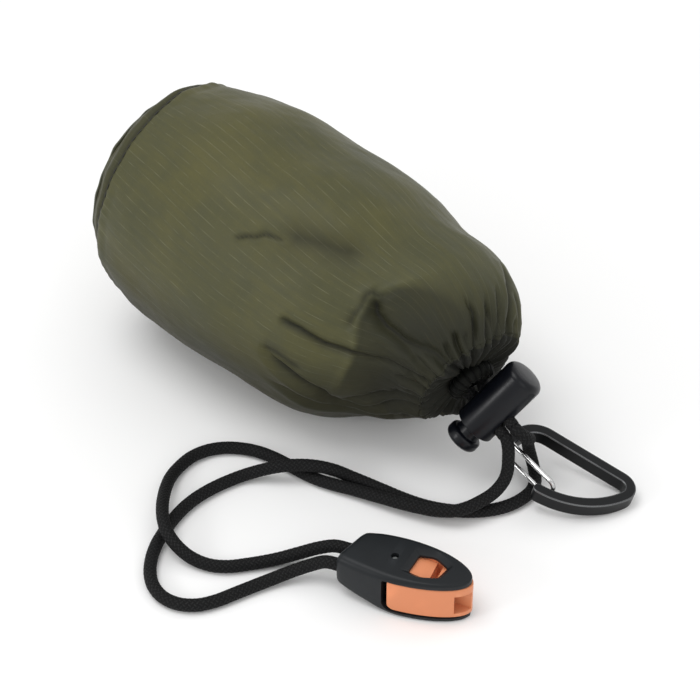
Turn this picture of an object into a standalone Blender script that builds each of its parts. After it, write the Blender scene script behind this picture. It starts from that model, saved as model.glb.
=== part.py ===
# Emergency bivvy bag, packed in its drawcord sack with cord lock, carabiner and whistle.
# Metres, +Z up. The sack lies on the floor along X, its base at -X and its gathered mouth at +X.
# The origin is on the floor under the middle of the sack.

import math

import bmesh
import bpy
import numpy as np
from mathutils import Matrix, Vector

MM = 0.001

# Clearances shared by every fit
GAP = 0.3 * MM
CORD_CLEARANCE = 0.3 * MM

# Sack of thin ripstop nylon, stuffed with the rolled bivvy
SACK_LENGTH = 134.0 * MM
SACK_RADIUS = 42.7 * MM
SACK_HEIGHT_OF_AXIS = 43.0 * MM
FABRIC = 0.5 * MM
SACK_SAG = 0.045
BASE_BULGE = 3.6 * MM
SEAM_WIDTH = 1.3 * MM
SEAM_PROUD = 2.0 * MM
SEAM_DEPTH = 1.5 * MM
NECK_RADIUS = 6.2 * MM
RIM_AHEAD = 2.94 * MM
PLEATS = 12
PLEAT_DEPTH = 0.09
ROLL_CLEARANCE = 1.5 * MM

# Drawcord, a kernmantle cord, and the hem it runs in
CORD_RADIUS = 2.0 * MM
HEM_RING_RADIUS = 5.2 * MM
HEM_CHANNEL = 0.4 * MM
EYELET_HALF_WIDTH = 5.2 * MM
EYELET_MARGIN = 3.0 * MM
CORD_TURN_IN = 3.2 * MM
HEM_TWIST = math.radians(27)

# Cord lock: a barrel with a sprung plunger, both with a slot across for the doubled cord
LOCK_CENTRE = Vector((74.5 * MM, 0.3 * MM, 29.0 * MM))
LOCK_AXIS = Vector((0.404, 0.516, 0.752)).normalized()
LOCK_RADIUS = 6.7 * MM
LOCK_WALL = 1.2 * MM
LOCK_MOUTH = 11.0 * MM
LOCK_CAP = 13.5 * MM
CAP_WALL = 1.5 * MM
PLUNGER_TRAVEL = 3.0 * MM
PLUNGER_END = 2.0 * MM
BUTTON_RADIUS = 5.7 * MM
BUTTON_LENGTH = 3.8 * MM
BUTTON_ROUND = 1.2 * MM
BUTTON_DOME = 0.5 * MM
STRAND_SPACING = 4.4 * MM
SLOT_OFFSET = -3.0 * MM
SLIDE_TRAVEL = 2.0 * MM
SPRING_WIRE = 0.35 * MM
SPRING_TURNS = 4.5

# Carabiner: a flat bar bent to an offset D, with a wire gate
BAR_WIDTH = 3.5 * MM
BAR_THICKNESS = 5.0 * MM
BAR_EDGE = 0.8 * MM
HOOK_RADIUS = 8.1 * MM
SPINE_LENGTH = 26.9 * MM
SPINE_ANGLE = math.radians(10)
CORNER_RADIUS = 4.3 * MM
ARM_RADIUS = 26.9 * MM
ARM_START = math.radians(-105)
ARM_END = math.radians(-171)
HINGE_STUB = 5.6 * MM
WIRE_RADIUS = 0.75 * MM
GATE_SIDE_GAP = 0.2 * MM
GATE_PIN_DEPTH = 1.2 * MM
GATE_REACH = 21.0 * MM
CARABINER_HOOK = Vector((77.8 * MM, 6.8 * MM, 0.0))
CARABINER_TILT = math.radians(14)
CORD_IN_RING = Vector((83.6 * MM, 7.8 * MM, 0.0))

# Whistle: a dark shell of two plates joined at the back, round an orange core
WHISTLE_BACK = Vector((72.3 * MM, -65.4 * MM, 0.0))
WHISTLE_TURN = math.radians(18.5)
WHISTLE_HEIGHT = 15.5 * MM
WHISTLE_HALF_WIDTH = 9.25 * MM
WHISTLE_TAIL = -2.0 * MM
WHISTLE_TAIL_HALF_WIDTH = 6.9 * MM
WHISTLE_WIDEST = 14.0 * MM
WHISTLE_TIP = 38.0 * MM
TAIL_RISE = 5.0 * MM
TAIL_RISE_END = 18.0 * MM
TOP_PLATE = 2.0 * MM
BOTTOM_PLATE = 1.6 * MM
SIDE_OPENING_START = 12.6 * MM
CORE_SETBACK = 1.3 * MM
CORE_PROUD = 0.5 * MM
PIN_RADIUS = 1.3 * MM
PIN_PLACE = 13.3 * MM
PIN_CLEARANCE = 0.2 * MM
PIN_SUNK = 0.6 * MM
PIN_FOOT = 0.8 * MM
POCKET_HALF_WIDTH = 6.0 * MM
BIGHT_HEIGHT = 8.6 * MM
DUCT_HALF_WIDTH = 4.0 * MM
DUCT_LOW = 3.6 * MM
DUCT_HIGH = 10.6 * MM
DUCT_START = 25.8 * MM
DUCT_CUT_MARGIN = 5.0 * MM
WINDOW_START = 19.2 * MM
WINDOW_END = 29.2 * MM
WINDOW_HALF_WIDTH = 3.7 * MM
LIFT_GAP_STRAND = 0.6 * MM
LIFT_GAP_BIGHT = 0.3 * MM

# Free strands of the cord, from the lock to the whistle, in millimetres
LEAD = 0.8 * MM
ROUTE_SPACING = 6.6 * MM
LEFT_ROUTE = [
    (83.5, -5.4, 19.0), (84.6, -6.6, 16.2), (85.4, -7.7, 13.3), (85.8, -9.3, 10.8), (85.7, -11.8, 8.8),
    (85.2, -15.0, 7.5), (84.2, -19.0, 6.9), (82.5, -23.4, 6.3), (80.0, -26.8, 5.7), (75.4, -29.8, 5.0),
    (70.1, -31.9, 4.5), (64.6, -33.7, 4.1), (59.0, -35.2, 3.7), (53.4, -36.6, 3.2), (47.8, -38.1, 2.8),
    (42.3, -39.8, 2.4), (36.7, -41.3, 2.2), (31.0, -42.1, 2.1), (25.2, -42.4, 2.1), (19.4, -42.9, 2.1),
    (13.8, -44.1, 2.1), (8.5, -46.5, 2.1), (3.9, -50.0, 2.1), (0.6, -54.6, 2.1), (-1.0, -60.1, 2.1),
    (-0.7, -65.9, 2.1), (1.0, -71.4, 2.7), (3.9, -76.3, 3.7), (7.3, -80.8, 4.9), (11.1, -85.1, 6.0),
    (15.3, -89.0, 6.6), (20.1, -92.1, 6.3), (25.5, -93.4, 4.7), (30.9, -92.9, 2.9), (36.3, -91.1, 2.1),
    (41.1, -88.0, 2.1), (45.6, -82.6, 2.1), (50.6, -76.2, 2.6), (55.0, -71.2, 4.2), (59.6, -67.0, 6.4),
    (64.0, -64.4, 8.2)]
RIGHT_ROUTE = [
    (85.2, -1.4, 23.4), (86.1, 0.2, 21.4), (85.6, 2.4, 19.0), (84.1, 4.5, 16.6), (82.6, 6.0, 14.0),
    (82.1, 7.0, 11.3), (82.3, 7.6, 8.6), (83.4, 7.5, 5.9), (85.6, 6.2, 3.6), (88.3, 3.5, 2.3),
    (90.1, -0.8, 2.1),
    (90.2, -5.6, 2.1), (88.9, -10.9, 2.1), (86.1, -15.9, 2.1), (82.2, -20.3, 2.1), (77.6, -23.9, 2.1),
    (72.5, -26.8, 2.1), (67.0, -28.9, 2.1), (61.2, -30.3, 2.1), (55.4, -31.3, 2.1), (49.6, -32.3, 2.1),
    (44.2, -34.2, 3.1), (39.6, -37.2, 5.3), (35.0, -40.6, 6.6), (30.3, -44.2, 6.7), (26.0, -48.1, 6.1),
    (21.6, -51.5, 4.3), (17.7, -55.5, 2.5), (15.4, -60.9, 2.1), (14.0, -66.6, 2.1), (13.3, -72.5, 2.1),
    (13.5, -78.3, 2.1), (14.6, -84.1, 2.1), (16.3, -89.8, 2.1), (18.4, -95.2, 2.1), (21.4, -100.3, 2.1),
    (25.2, -104.8, 2.1), (29.9, -108.2, 2.1), (35.5, -109.7, 2.1), (41.1, -108.6, 2.1),
    (45.7, -105.1, 2.1), (48.7, -100.1, 2.1), (50.7, -94.6, 2.1), (52.7, -89.0, 2.1), (55.2, -83.2, 2.5),
    (58.4, -77.8, 3.8), (62.2, -73.8, 5.9), (66.2, -71.2, 8.1)]

SMOOTH = math.radians(35)


def clear_scene():
    for old in list(bpy.data.objects):
        bpy.data.objects.remove(old, do_unlink=True)


def make_collection(name):
    collection = bpy.data.collections.new(name)
    bpy.context.scene.collection.children.link(collection)
    return collection


def plain_material(name, colour, roughness, metallic=0.0):
    material = bpy.data.materials.new(name)
    material.use_nodes = True
    shader = material.node_tree.nodes["Principled BSDF"]
    shader.inputs["Base Color"].default_value = (*colour, 1.0)
    shader.inputs["Roughness"].default_value = roughness
    shader.inputs["Metallic"].default_value = metallic
    material.diffuse_color = (*colour, 1.0)
    return material


def add_object(name, data, collection, material=None, parent=None):
    thing = bpy.data.objects.new(name, data)
    collection.objects.link(thing)
    if material is not None:
        thing.data.materials.append(material)
    if parent is not None:
        thing.parent = parent
    return thing


def add_empty(name, matrix, collection):
    empty = bpy.data.objects.new(name, None)
    empty.matrix_world = matrix
    collection.objects.link(empty)
    return empty


def mesh_from(name, verts, faces):
    mesh = bpy.data.meshes.new(name)
    mesh.from_pydata([tuple(v) for v in verts], [], faces)
    mesh.update()
    return mesh


def outward(mesh):
    """Turn every face of a closed mesh outwards."""
    bm = bmesh.new()
    bm.from_mesh(mesh)
    bmesh.ops.recalc_face_normals(bm, faces=bm.faces)
    bm.to_mesh(mesh)
    bm.free()
    return mesh


def shade(thing, angle=SMOOTH):
    thing.data.shade_smooth()
    thing.data.set_sharp_from_angle(angle=angle)


def loft(name, rings, close_start, close_end):
    """Skin between equal rings of points; an end is closed with one flat face."""
    count = len(rings[0])
    verts = [point for ring in rings for point in ring]
    faces = []
    for row in range(len(rings) - 1):
        for i in range(count):
            j = (i + 1) % count
            a, b = row * count, (row + 1) * count
            faces.append((a + i, a + j, b + j, b + i))
    if close_start:
        faces.append(tuple(range(count))[::-1])
    if close_end:
        last = (len(rings) - 1) * count
        faces.append(tuple(range(last, last + count)))
    return mesh_from(name, verts, faces)


def turned(name, profile, steps, collection, material, parent=None):
    """A profile in X and Z turned about Z, with its ends on the axis or meeting each other."""
    bm = bmesh.new()
    points = [bm.verts.new((r, 0.0, z)) for r, z in profile]
    for first, second in zip(points, points[1:]):
        bm.edges.new((first, second))
    mesh = bpy.data.meshes.new(name)
    bm.to_mesh(mesh)
    bm.free()
    thing = add_object(name, mesh, collection, material, parent)
    screw = thing.modifiers.new("turn", "SCREW")
    screw.axis = "Z"
    screw.angle = 2 * math.pi
    screw.steps = steps
    screw.render_steps = steps
    screw.use_merge_vertices = True
    screw.merge_threshold = 0.00001
    return thing


def freeze(thing):
    """Replace an object's data by its evaluated mesh, welded and turned outwards."""
    bpy.context.view_layer.update()
    depsgraph = bpy.context.evaluated_depsgraph_get()
    mesh = bpy.data.meshes.new_from_object(thing.evaluated_get(depsgraph))
    bm = bmesh.new()
    bm.from_mesh(mesh)
    bmesh.ops.remove_doubles(bm, verts=bm.verts, dist=0.000005)
    bmesh.ops.recalc_face_normals(bm, faces=bm.faces)
    bm.to_mesh(mesh)
    bm.free()
    name, matrix, parent = thing.name, thing.matrix_world.copy(), thing.parent
    collection = thing.users_collection[0]
    bpy.data.objects.remove(thing, do_unlink=True)
    solid = bpy.data.objects.new(name, mesh)
    collection.objects.link(solid)
    if parent is not None:
        solid.parent = parent
    solid.matrix_world = matrix
    return solid


def cut(thing, cutter):
    boolean = thing.modifiers.new("cut " + cutter.name, "BOOLEAN")
    boolean.operation = "DIFFERENCE"
    boolean.solver = "EXACT"
    boolean.object = cutter


def as_cutter(thing):
    thing.hide_render = True
    thing.display_type = "WIRE"
    return thing


def prism(name, outline, low, high, collection, matrix=None, parent=None):
    """A flat outline pushed from low to high along local Z."""
    rings = [[(x, y, z) for x, y in outline] for z in (low, high)]
    mesh = outward(loft(name, rings, True, True))
    thing = add_object(name, mesh, collection, None, parent)
    if matrix is not None:
        thing.matrix_world = matrix
    return thing


def circle(radius, count, centre=(0.0, 0.0)):
    turn = np.linspace(0, 2 * math.pi, count, endpoint=False)
    return [(centre[0] + radius * math.cos(t), centre[1] + radius * math.sin(t)) for t in turn]


def curve_through(points, spacing):
    """Even samples of a centripetal Catmull-Rom curve through the points."""
    pts = np.array(points, dtype=float)
    pts = np.vstack([2 * pts[0] - pts[1], pts, 2 * pts[-1] - pts[-2]])
    samples = []
    for i in range(len(pts) - 3):
        p0, p1, p2, p3 = pts[i:i + 4]
        t0 = 0.0
        t1 = t0 + math.sqrt(np.linalg.norm(p1 - p0))
        t2 = t1 + math.sqrt(np.linalg.norm(p2 - p1))
        t3 = t2 + math.sqrt(np.linalg.norm(p3 - p2))
        for t in np.linspace(t1, t2, 16, endpoint=False):
            a1 = (t1 - t) / (t1 - t0) * p0 + (t - t0) / (t1 - t0) * p1
            a2 = (t2 - t) / (t2 - t1) * p1 + (t - t1) / (t2 - t1) * p2
            a3 = (t3 - t) / (t3 - t2) * p2 + (t - t2) / (t3 - t2) * p3
            b1 = (t2 - t) / (t2 - t0) * a1 + (t - t0) / (t2 - t0) * a2
            b2 = (t3 - t) / (t3 - t1) * a2 + (t - t1) / (t3 - t1) * a3
            samples.append((t2 - t) / (t2 - t1) * b1 + (t - t1) / (t2 - t1) * b2)
    samples.append(pts[-2])
    samples = np.array(samples)
    run = np.concatenate([[0], np.cumsum(np.linalg.norm(np.diff(samples, axis=0), axis=1))])
    count = max(2, int(round(run[-1] / spacing)) + 1)
    where = np.linspace(0, run[-1], count)
    even = np.stack([np.interp(where, run, samples[:, k]) for k in range(3)], axis=1)
    return even, run[-1]


def tube(name, points, radius, collection, material, parent=None, resolution=2):
    """A round tube along points, with filled caps."""
    data = bpy.data.curves.new(name, "CURVE")
    data.dimensions = "3D"
    data.bevel_depth = radius
    data.bevel_resolution = resolution
    data.use_fill_caps = True
    spline = data.splines.new("POLY")
    spline.points.add(len(points) - 1)
    for place, point in zip(spline.points, points):
        place.co = (*point, 1.0)
    return add_object(name, data, collection, material, parent)


def blend_between(x, low, high):
    t = min(max((x - low) / (high - low), 0.0), 1.0)
    return t * t * (3 - 2 * t)


# Directions at the cord lock: the cord runs across the barrel and slightly down to the floor
CORD_GUIDE = Vector((0.913, -0.183, -0.365))
CORD_AXIS = (CORD_GUIDE - LOCK_AXIS * CORD_GUIDE.dot(LOCK_AXIS)).normalized()
SIDE_AXIS = LOCK_AXIS.cross(CORD_AXIS)
EYELET_AXIS = SIDE_AXIS * math.cos(HEM_TWIST) - LOCK_AXIS * math.sin(HEM_TWIST)
SLOT_CENTRE = LOCK_CENTRE + LOCK_AXIS * SLOT_OFFSET
HEM_TUBE = CORD_RADIUS + HEM_CHANNEL + FABRIC
HEM_DISTANCE = LOCK_RADIUS + GAP + HEM_TUBE
HEM_CENTRE = SLOT_CENTRE - CORD_AXIS * HEM_DISTANCE - EYELET_AXIS * HEM_RING_RADIUS
NECK_CENTRE = HEM_CENTRE - CORD_AXIS * (HEM_TUBE + GAP + FABRIC)
STRAND_END = LOCK_RADIUS + SLIDE_TRAVEL + 2 * CORD_CLEARANCE


def axes_matrix(x_axis, y_axis, z_axis, origin):
    rotation = Matrix((x_axis, y_axis, z_axis)).transposed().to_4x4()
    rotation.translation = origin
    return rotation


LOCK_FRAME = axes_matrix(CORD_AXIS, SIDE_AXIS, LOCK_AXIS, LOCK_CENTRE)
HEM_FRAME = axes_matrix(EYELET_AXIS, CORD_AXIS.cross(EYELET_AXIS), CORD_AXIS, HEM_CENTRE)

# Sack profile: share of the length from the base, then radius, sideways and height drift as shares
# of the sack's radius
SACK_STATIONS = [
    (0.000, 0.705, -0.0304, 0.0562), (0.029, 0.863, 0.0117, 0.0398), (0.082, 0.922, 0.0164, 0.0234),
    (0.194, 0.981, 0.0164, 0.0164), (0.315, 1.012, 0.0117, 0.0070), (0.437, 0.999, 0.0117, -0.0187),
    (0.558, 0.977, 0.0164, -0.0375), (0.679, 0.925, 0.0211, -0.0562), (0.796, 0.776, 0.0468, -0.0515),
    (0.883, 0.680, 0.0773, -0.0515), (0.944, 0.596, 0.0304, -0.0984), (1.000, 0.477, -0.0492, -0.1710)]
SACK_BASE_X = NECK_CENTRE.x + RIM_AHEAD - SACK_LENGTH
BASE_RADIUS = SACK_RADIUS * SACK_STATIONS[0][1]
SACK_ROWS = 26
SACK_SIDES = 48
MOUTH_DISH = (0.60, 0.25)


def sack_profile(share):
    """Radius, centre and ring direction at a share of the sack's length, read between the stations."""
    stations = np.array(SACK_STATIONS)
    radius = float(np.interp(share, stations[:, 0], stations[:, 1])) * SACK_RADIUS
    side = float(np.interp(share, stations[:, 0], stations[:, 2])) * SACK_RADIUS
    rise = float(np.interp(share, stations[:, 0], stations[:, 3])) * SACK_RADIUS
    return radius, side, rise


def sack_ring(centre, direction, radius, pleat, inset, floor):
    """One ring round the sack, pleated near the mouth, heavier below and cut flat at the floor."""
    up = (Vector((0, 0, 1)) - direction * direction.z).normalized()
    side = up.cross(direction)
    ring = []
    for i in range(SACK_SIDES):
        turn = 2 * math.pi * i / SACK_SIDES
        fold = math.cos(PLEATS * turn) * (1 + 0.35 * math.cos(3 * turn + 1.0))
        sag = 1 + SACK_SAG * max(0.0, -math.sin(turn)) ** 4 * (1 - pleat)
        reach = radius * sag * (1 + PLEAT_DEPTH * pleat * fold) - inset
        point = centre + side * (reach * math.cos(turn)) + up * (reach * math.sin(turn))
        point.z = max(point.z, floor)
        ring.append(point)
    return ring


def sack_rings(inset, floor, first, last):
    """Rings from the base towards the mouth; the last few lean over to face along the cord."""
    shares = first + (last - first) * (1 - np.cos(np.linspace(0, math.pi, SACK_ROWS))) / 2
    rings = []
    for share in shares:
        radius, side, rise = sack_profile(share)
        lean = blend_between(share, 0.80, 1.0)
        direction = Vector((1, 0, 0)).lerp(CORD_AXIS, lean).normalized()
        centre = Vector((SACK_BASE_X + share * SACK_LENGTH, side, SACK_HEIGHT_OF_AXIS + rise))
        pleat = blend_between(share, 0.62, 0.98)
        rings.append(sack_ring(centre, direction, radius, pleat, inset, floor))
    return rings


def build_sack(parts, fabric):
    rings = sack_rings(0.0, 0.0, 0.0, 1.0)
    radius, side, rise = sack_profile(1.0)
    rim_centre = Vector((SACK_BASE_X + SACK_LENGTH, side, SACK_HEIGHT_OF_AXIS + rise))
    for share in MOUTH_DISH:
        centre = NECK_CENTRE.lerp(rim_centre, share * 0.9)
        centre -= CORD_AXIS * ((centre - NECK_CENTRE).dot(CORD_AXIS) * 0.8)
        reach = NECK_RADIUS + (radius - NECK_RADIUS) * share
        rings.append(sack_ring(centre, CORD_AXIS, reach, 1.0, 0.0, 0.0))
    rings.append(sack_ring(NECK_CENTRE, CORD_AXIS, NECK_RADIUS, 0.7, 0.0, 0.0))
    mesh = loft("sack_body", rings, False, False)
    body = add_object("sack_body", mesh, parts, fabric)
    wall = body.modifiers.new("fabric", "SOLIDIFY")
    wall.thickness = FABRIC
    wall.offset = -1.0
    wall.use_even_offset = True
    shade(body)
    return body


def build_base(parts, fabric, thread):
    radius, side, rise = sack_profile(0.0)
    frame = Matrix.Translation((SACK_BASE_X, side, SACK_HEIGHT_OF_AXIS + rise)) @ Matrix.Rotation(
        -math.pi / 2, 4, "Y")
    inner, outer = BASE_RADIUS - SEAM_DEPTH, BASE_RADIUS + SEAM_PROUD
    low, high = GAP, GAP + SEAM_WIDTH
    profile = [(outer - 0.3 * MM, high), (outer, (low + high) / 2), (outer - 0.3 * MM, low), (inner, low),
               (inner, high), (outer - 0.3 * MM, high)]
    seam = turned("base_seam", profile, 48, parts, thread)
    seam.matrix_world = frame
    shade(seam)
    foot = high + GAP
    edge = BASE_RADIUS + 0.2 * SEAM_PROUD
    top = [(edge * math.sin(t), foot + FABRIC + BASE_BULGE * (math.cos(t) ** 1.5))
           for t in np.linspace(0, math.pi / 2, 7)]
    under = [(max(r - 0.4 * FABRIC, 0.0), z - FABRIC) for r, z in top]
    panel = turned("sack_base", top + under[::-1], 40, parts, fabric)
    panel.matrix_world = frame
    shade(panel)
    return seam, panel


def build_roll(parts, film):
    """The folded and rolled bivvy that fills the sack."""
    rings = sack_rings(FABRIC + ROLL_CLEARANCE, FABRIC + GAP, 0.045, 0.88)[::2]
    roll = add_object("bivvy_roll", outward(loft("bivvy_roll", rings, True, True)), parts, film)
    shade(roll)
    return roll


def build_hem(parts, cutters, fabric):
    """Drawcord channel: a gathered fabric tube round the neck, open where the cord leaves it."""
    sides, count = 48, 12
    rings = []
    for i in range(sides):
        turn = 2 * math.pi * i / sides
        ripple = 1 + 0.05 * math.cos(PLEATS * turn)
        ring = []
        for j in range(count):
            roll = -2 * math.pi * j / count
            out = HEM_RING_RADIUS + HEM_TUBE * math.cos(roll) * ripple
            ring.append((out * math.cos(turn), out * math.sin(turn), HEM_TUBE * math.sin(roll)))
        rings.append(ring)
    rings.append(rings[0])
    mesh = loft("mouth_hem", rings, False, False)
    hem = add_object("mouth_hem", mesh, parts, fabric)
    weld = hem.modifiers.new("weld", "WELD")
    weld.merge_threshold = 0.00001
    wall = hem.modifiers.new("fabric", "SOLIDIFY")
    wall.thickness = FABRIC
    wall.offset = -1.0
    hem.matrix_world = HEM_FRAME
    hem = freeze_shell(hem)
    hem.data.materials.append(fabric)
    reach = HEM_RING_RADIUS + 2 * HEM_TUBE
    outline = [(1.2 * MM, -EYELET_HALF_WIDTH), (reach, -EYELET_HALF_WIDTH), (reach, EYELET_HALF_WIDTH),
               (1.2 * MM, EYELET_HALF_WIDTH)]
    eyelet = as_cutter(prism("eyelet_cutter", outline, -0.3 * MM, 2 * HEM_TUBE, cutters, HEM_FRAME))
    cut(hem, eyelet)
    shade(hem)
    return hem


def freeze_shell(thing):
    """As freeze, for a shell whose inner face has to keep pointing inwards."""
    bpy.context.view_layer.update()
    depsgraph = bpy.context.evaluated_depsgraph_get()
    mesh = bpy.data.meshes.new_from_object(thing.evaluated_get(depsgraph))
    name, matrix = thing.name, thing.matrix_world.copy()
    collection = thing.users_collection[0]
    bpy.data.objects.remove(thing, do_unlink=True)
    solid = bpy.data.objects.new(name, mesh)
    solid.data.materials.clear()
    collection.objects.link(solid)
    solid.matrix_world = matrix
    return solid


def drawcord_points():
    """Through the lock, into the hem, once round the neck and back out through the lock."""
    half = STRAND_SPACING / 2
    depth = HEM_DISTANCE
    ring = HEM_RING_RADIUS
    twist = half * math.sin(HEM_TWIST), half * math.cos(HEM_TWIST)
    first, second = [], []
    for side, strand in ((1, first), (-1, second)):
        for z in (depth + STRAND_END - GAP / 2, depth + 2.0 * MM, depth - EYELET_MARGIN, CORD_TURN_IN):
            strand.append(Vector((ring - side * twist[0], side * twist[1], z)))
        strand.append(Vector((ring - 0.5 * MM, side * 1.25 * half, 1.4 * MM)))
    turn = np.radians(np.linspace(46, 314, 15))
    loop = [Vector((ring * math.cos(t), ring * math.sin(t), 0.0)) for t in turn]
    return [HEM_FRAME @ p for p in first + loop + second[::-1]]


def build_drawcord(parts, cord):
    return tube("drawcord", drawcord_points(), CORD_RADIUS, parts, cord)


def slot_outline(half_width, low, high):
    """A slot with round ends, long in Y."""
    outline = []
    for centre, first in ((high, 0.0), (low, math.pi)):
        for t in np.linspace(first, first + math.pi, 7):
            outline.append((half_width * math.cos(t), centre + half_width * math.sin(t)))
    return outline


def cord_slot(name, low, high, cutters, parent):
    """Slot cutter across the lock, along the cord, between two heights of the lock's axis."""
    half_width = CORD_RADIUS + CORD_CLEARANCE
    reach = 2 * LOCK_RADIUS
    outline = slot_outline(half_width, low + half_width, high - half_width)
    slot = prism(name, outline, -reach, reach, cutters)
    slot.parent = parent
    across = axes_matrix(Vector((0, 1, 0)), Vector((0, 0, 1)), Vector((1, 0, 0)), Vector())
    slot.matrix_world = LOCK_FRAME @ across
    return as_cutter(slot)


def build_lock(parts, cutters, moulded, steel):
    barrel_frame = add_empty("lock_slide_axis", LOCK_FRAME, parts)
    plunger_frame = add_empty("plunger_axis", LOCK_FRAME, parts)
    half_slot = STRAND_SPACING / 2 + CORD_RADIUS + CORD_CLEARANCE

    chamber = LOCK_RADIUS - LOCK_WALL
    ceiling = LOCK_CAP - CAP_WALL
    round_cap = 1.6 * MM
    profile = [(0.0, LOCK_CAP)]
    for t in np.linspace(0, math.pi / 2, 5):
        across = LOCK_RADIUS - round_cap + round_cap * math.sin(t)
        profile.append((across, LOCK_CAP - round_cap + round_cap * math.cos(t)))
    profile += [(LOCK_RADIUS, -LOCK_MOUTH + 0.3 * MM), (LOCK_RADIUS - 0.3 * MM, -LOCK_MOUTH),
                (chamber, -LOCK_MOUTH), (chamber, ceiling), (0.0, ceiling)]
    barrel = turned("lock_barrel", profile, 32, parts, moulded, barrel_frame)
    low, high = SLOT_OFFSET - half_slot, SLOT_OFFSET + half_slot
    cut(barrel, cord_slot("barrel_slot_cutter", low, high, cutters, barrel_frame))
    shade(barrel)

    stem = chamber - GAP
    shoulder = -LOCK_MOUTH - PLUNGER_TRAVEL - GAP
    seat = high + PLUNGER_END
    bulge = BUTTON_LENGTH / 2
    profile = [(0.0, seat), (stem - 0.3 * MM, seat), (stem, seat - 0.3 * MM), (stem, shoulder + 0.4 * MM)]
    rim = math.radians(65)
    for t in np.linspace(rim, -rim, 7):
        across = BUTTON_RADIUS - BUTTON_ROUND + BUTTON_ROUND * math.cos(t)
        profile.append((across, shoulder - bulge + bulge * math.sin(t) / math.sin(rim)))
    profile.append((0.0, shoulder - BUTTON_LENGTH - BUTTON_DOME))
    plunger = turned("lock_plunger", profile, 32, parts, moulded, plunger_frame)
    cut(plunger, cord_slot("plunger_slot_cutter", low - PLUNGER_TRAVEL, high, cutters, plunger_frame))
    shade(plunger)

    coil_radius = chamber - 4 * SPRING_WIRE
    foot = seat + GAP + SPRING_WIRE
    head = ceiling - GAP - SPRING_WIRE
    turns = int(SPRING_TURNS * 10)
    coil = []
    for i in range(turns + 1):
        t = i / turns
        spin = 2 * math.pi * SPRING_TURNS * t
        coil.append((coil_radius * math.cos(spin), coil_radius * math.sin(spin), foot + (head - foot) * t))
    tube("lock_spring", coil, SPRING_WIRE, parts, steel, barrel_frame, 1)
    pitch = (head - foot) / SPRING_TURNS
    print("spring least self-gap mm", round((pitch - 2 * SPRING_WIRE) / MM, 2))


def carabiner_centre_line():
    """Bar centre line in the carabiner's own plane: hinge stub, hook, spine, corner and bowed arm."""
    centre = np.array([HOOK_RADIUS, 0.0])
    points = [np.array([0.0, -HINGE_STUB]), np.array([0.0, -HINGE_STUB / 2])]
    for t in np.linspace(math.pi, math.pi / 2 + SPINE_ANGLE, 9):
        points.append(centre + HOOK_RADIUS * np.array([math.cos(t), math.sin(t)]))
    start = points[-1] + SPINE_LENGTH * np.array([math.cos(SPINE_ANGLE), math.sin(SPINE_ANGLE)])
    corner = start + CORNER_RADIUS * np.array([math.sin(SPINE_ANGLE), -math.cos(SPINE_ANGLE)])
    for t in np.linspace(SPINE_ANGLE, ARM_START, 8):
        points.append(corner + CORNER_RADIUS * np.array([-math.sin(t), math.cos(t)]))
    bow = points[-1] + ARM_RADIUS * np.array([math.sin(ARM_START), -math.cos(ARM_START)])
    for t in np.linspace(ARM_START, ARM_END, 11)[1:]:
        points.append(bow + ARM_RADIUS * np.array([-math.sin(t), math.cos(t)]))
    return np.array(points), bow


def bar_outline(line):
    """Both edges of the bar, offset from its centre line, as one closed outline with round ends."""
    ahead = np.gradient(line, axis=0)
    ahead /= np.linalg.norm(ahead, axis=1)[:, None]
    side = np.stack([-ahead[:, 1], ahead[:, 0]], axis=1)
    half = BAR_WIDTH / 2
    left, right = line + side * half, line - side * half
    end, start = ahead[-1], ahead[0]
    round_end = np.linspace(0, math.pi, 7)[1:-1]
    nose = [line[-1] + half * (side[-1] * math.cos(t) + end * math.sin(t)) for t in round_end]
    tail = [line[0] - half * (side[0] * math.cos(t) + start * math.sin(t)) for t in round_end]
    return [tuple(p) for p in [*left, *nose, *right[::-1], *tail]]


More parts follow.
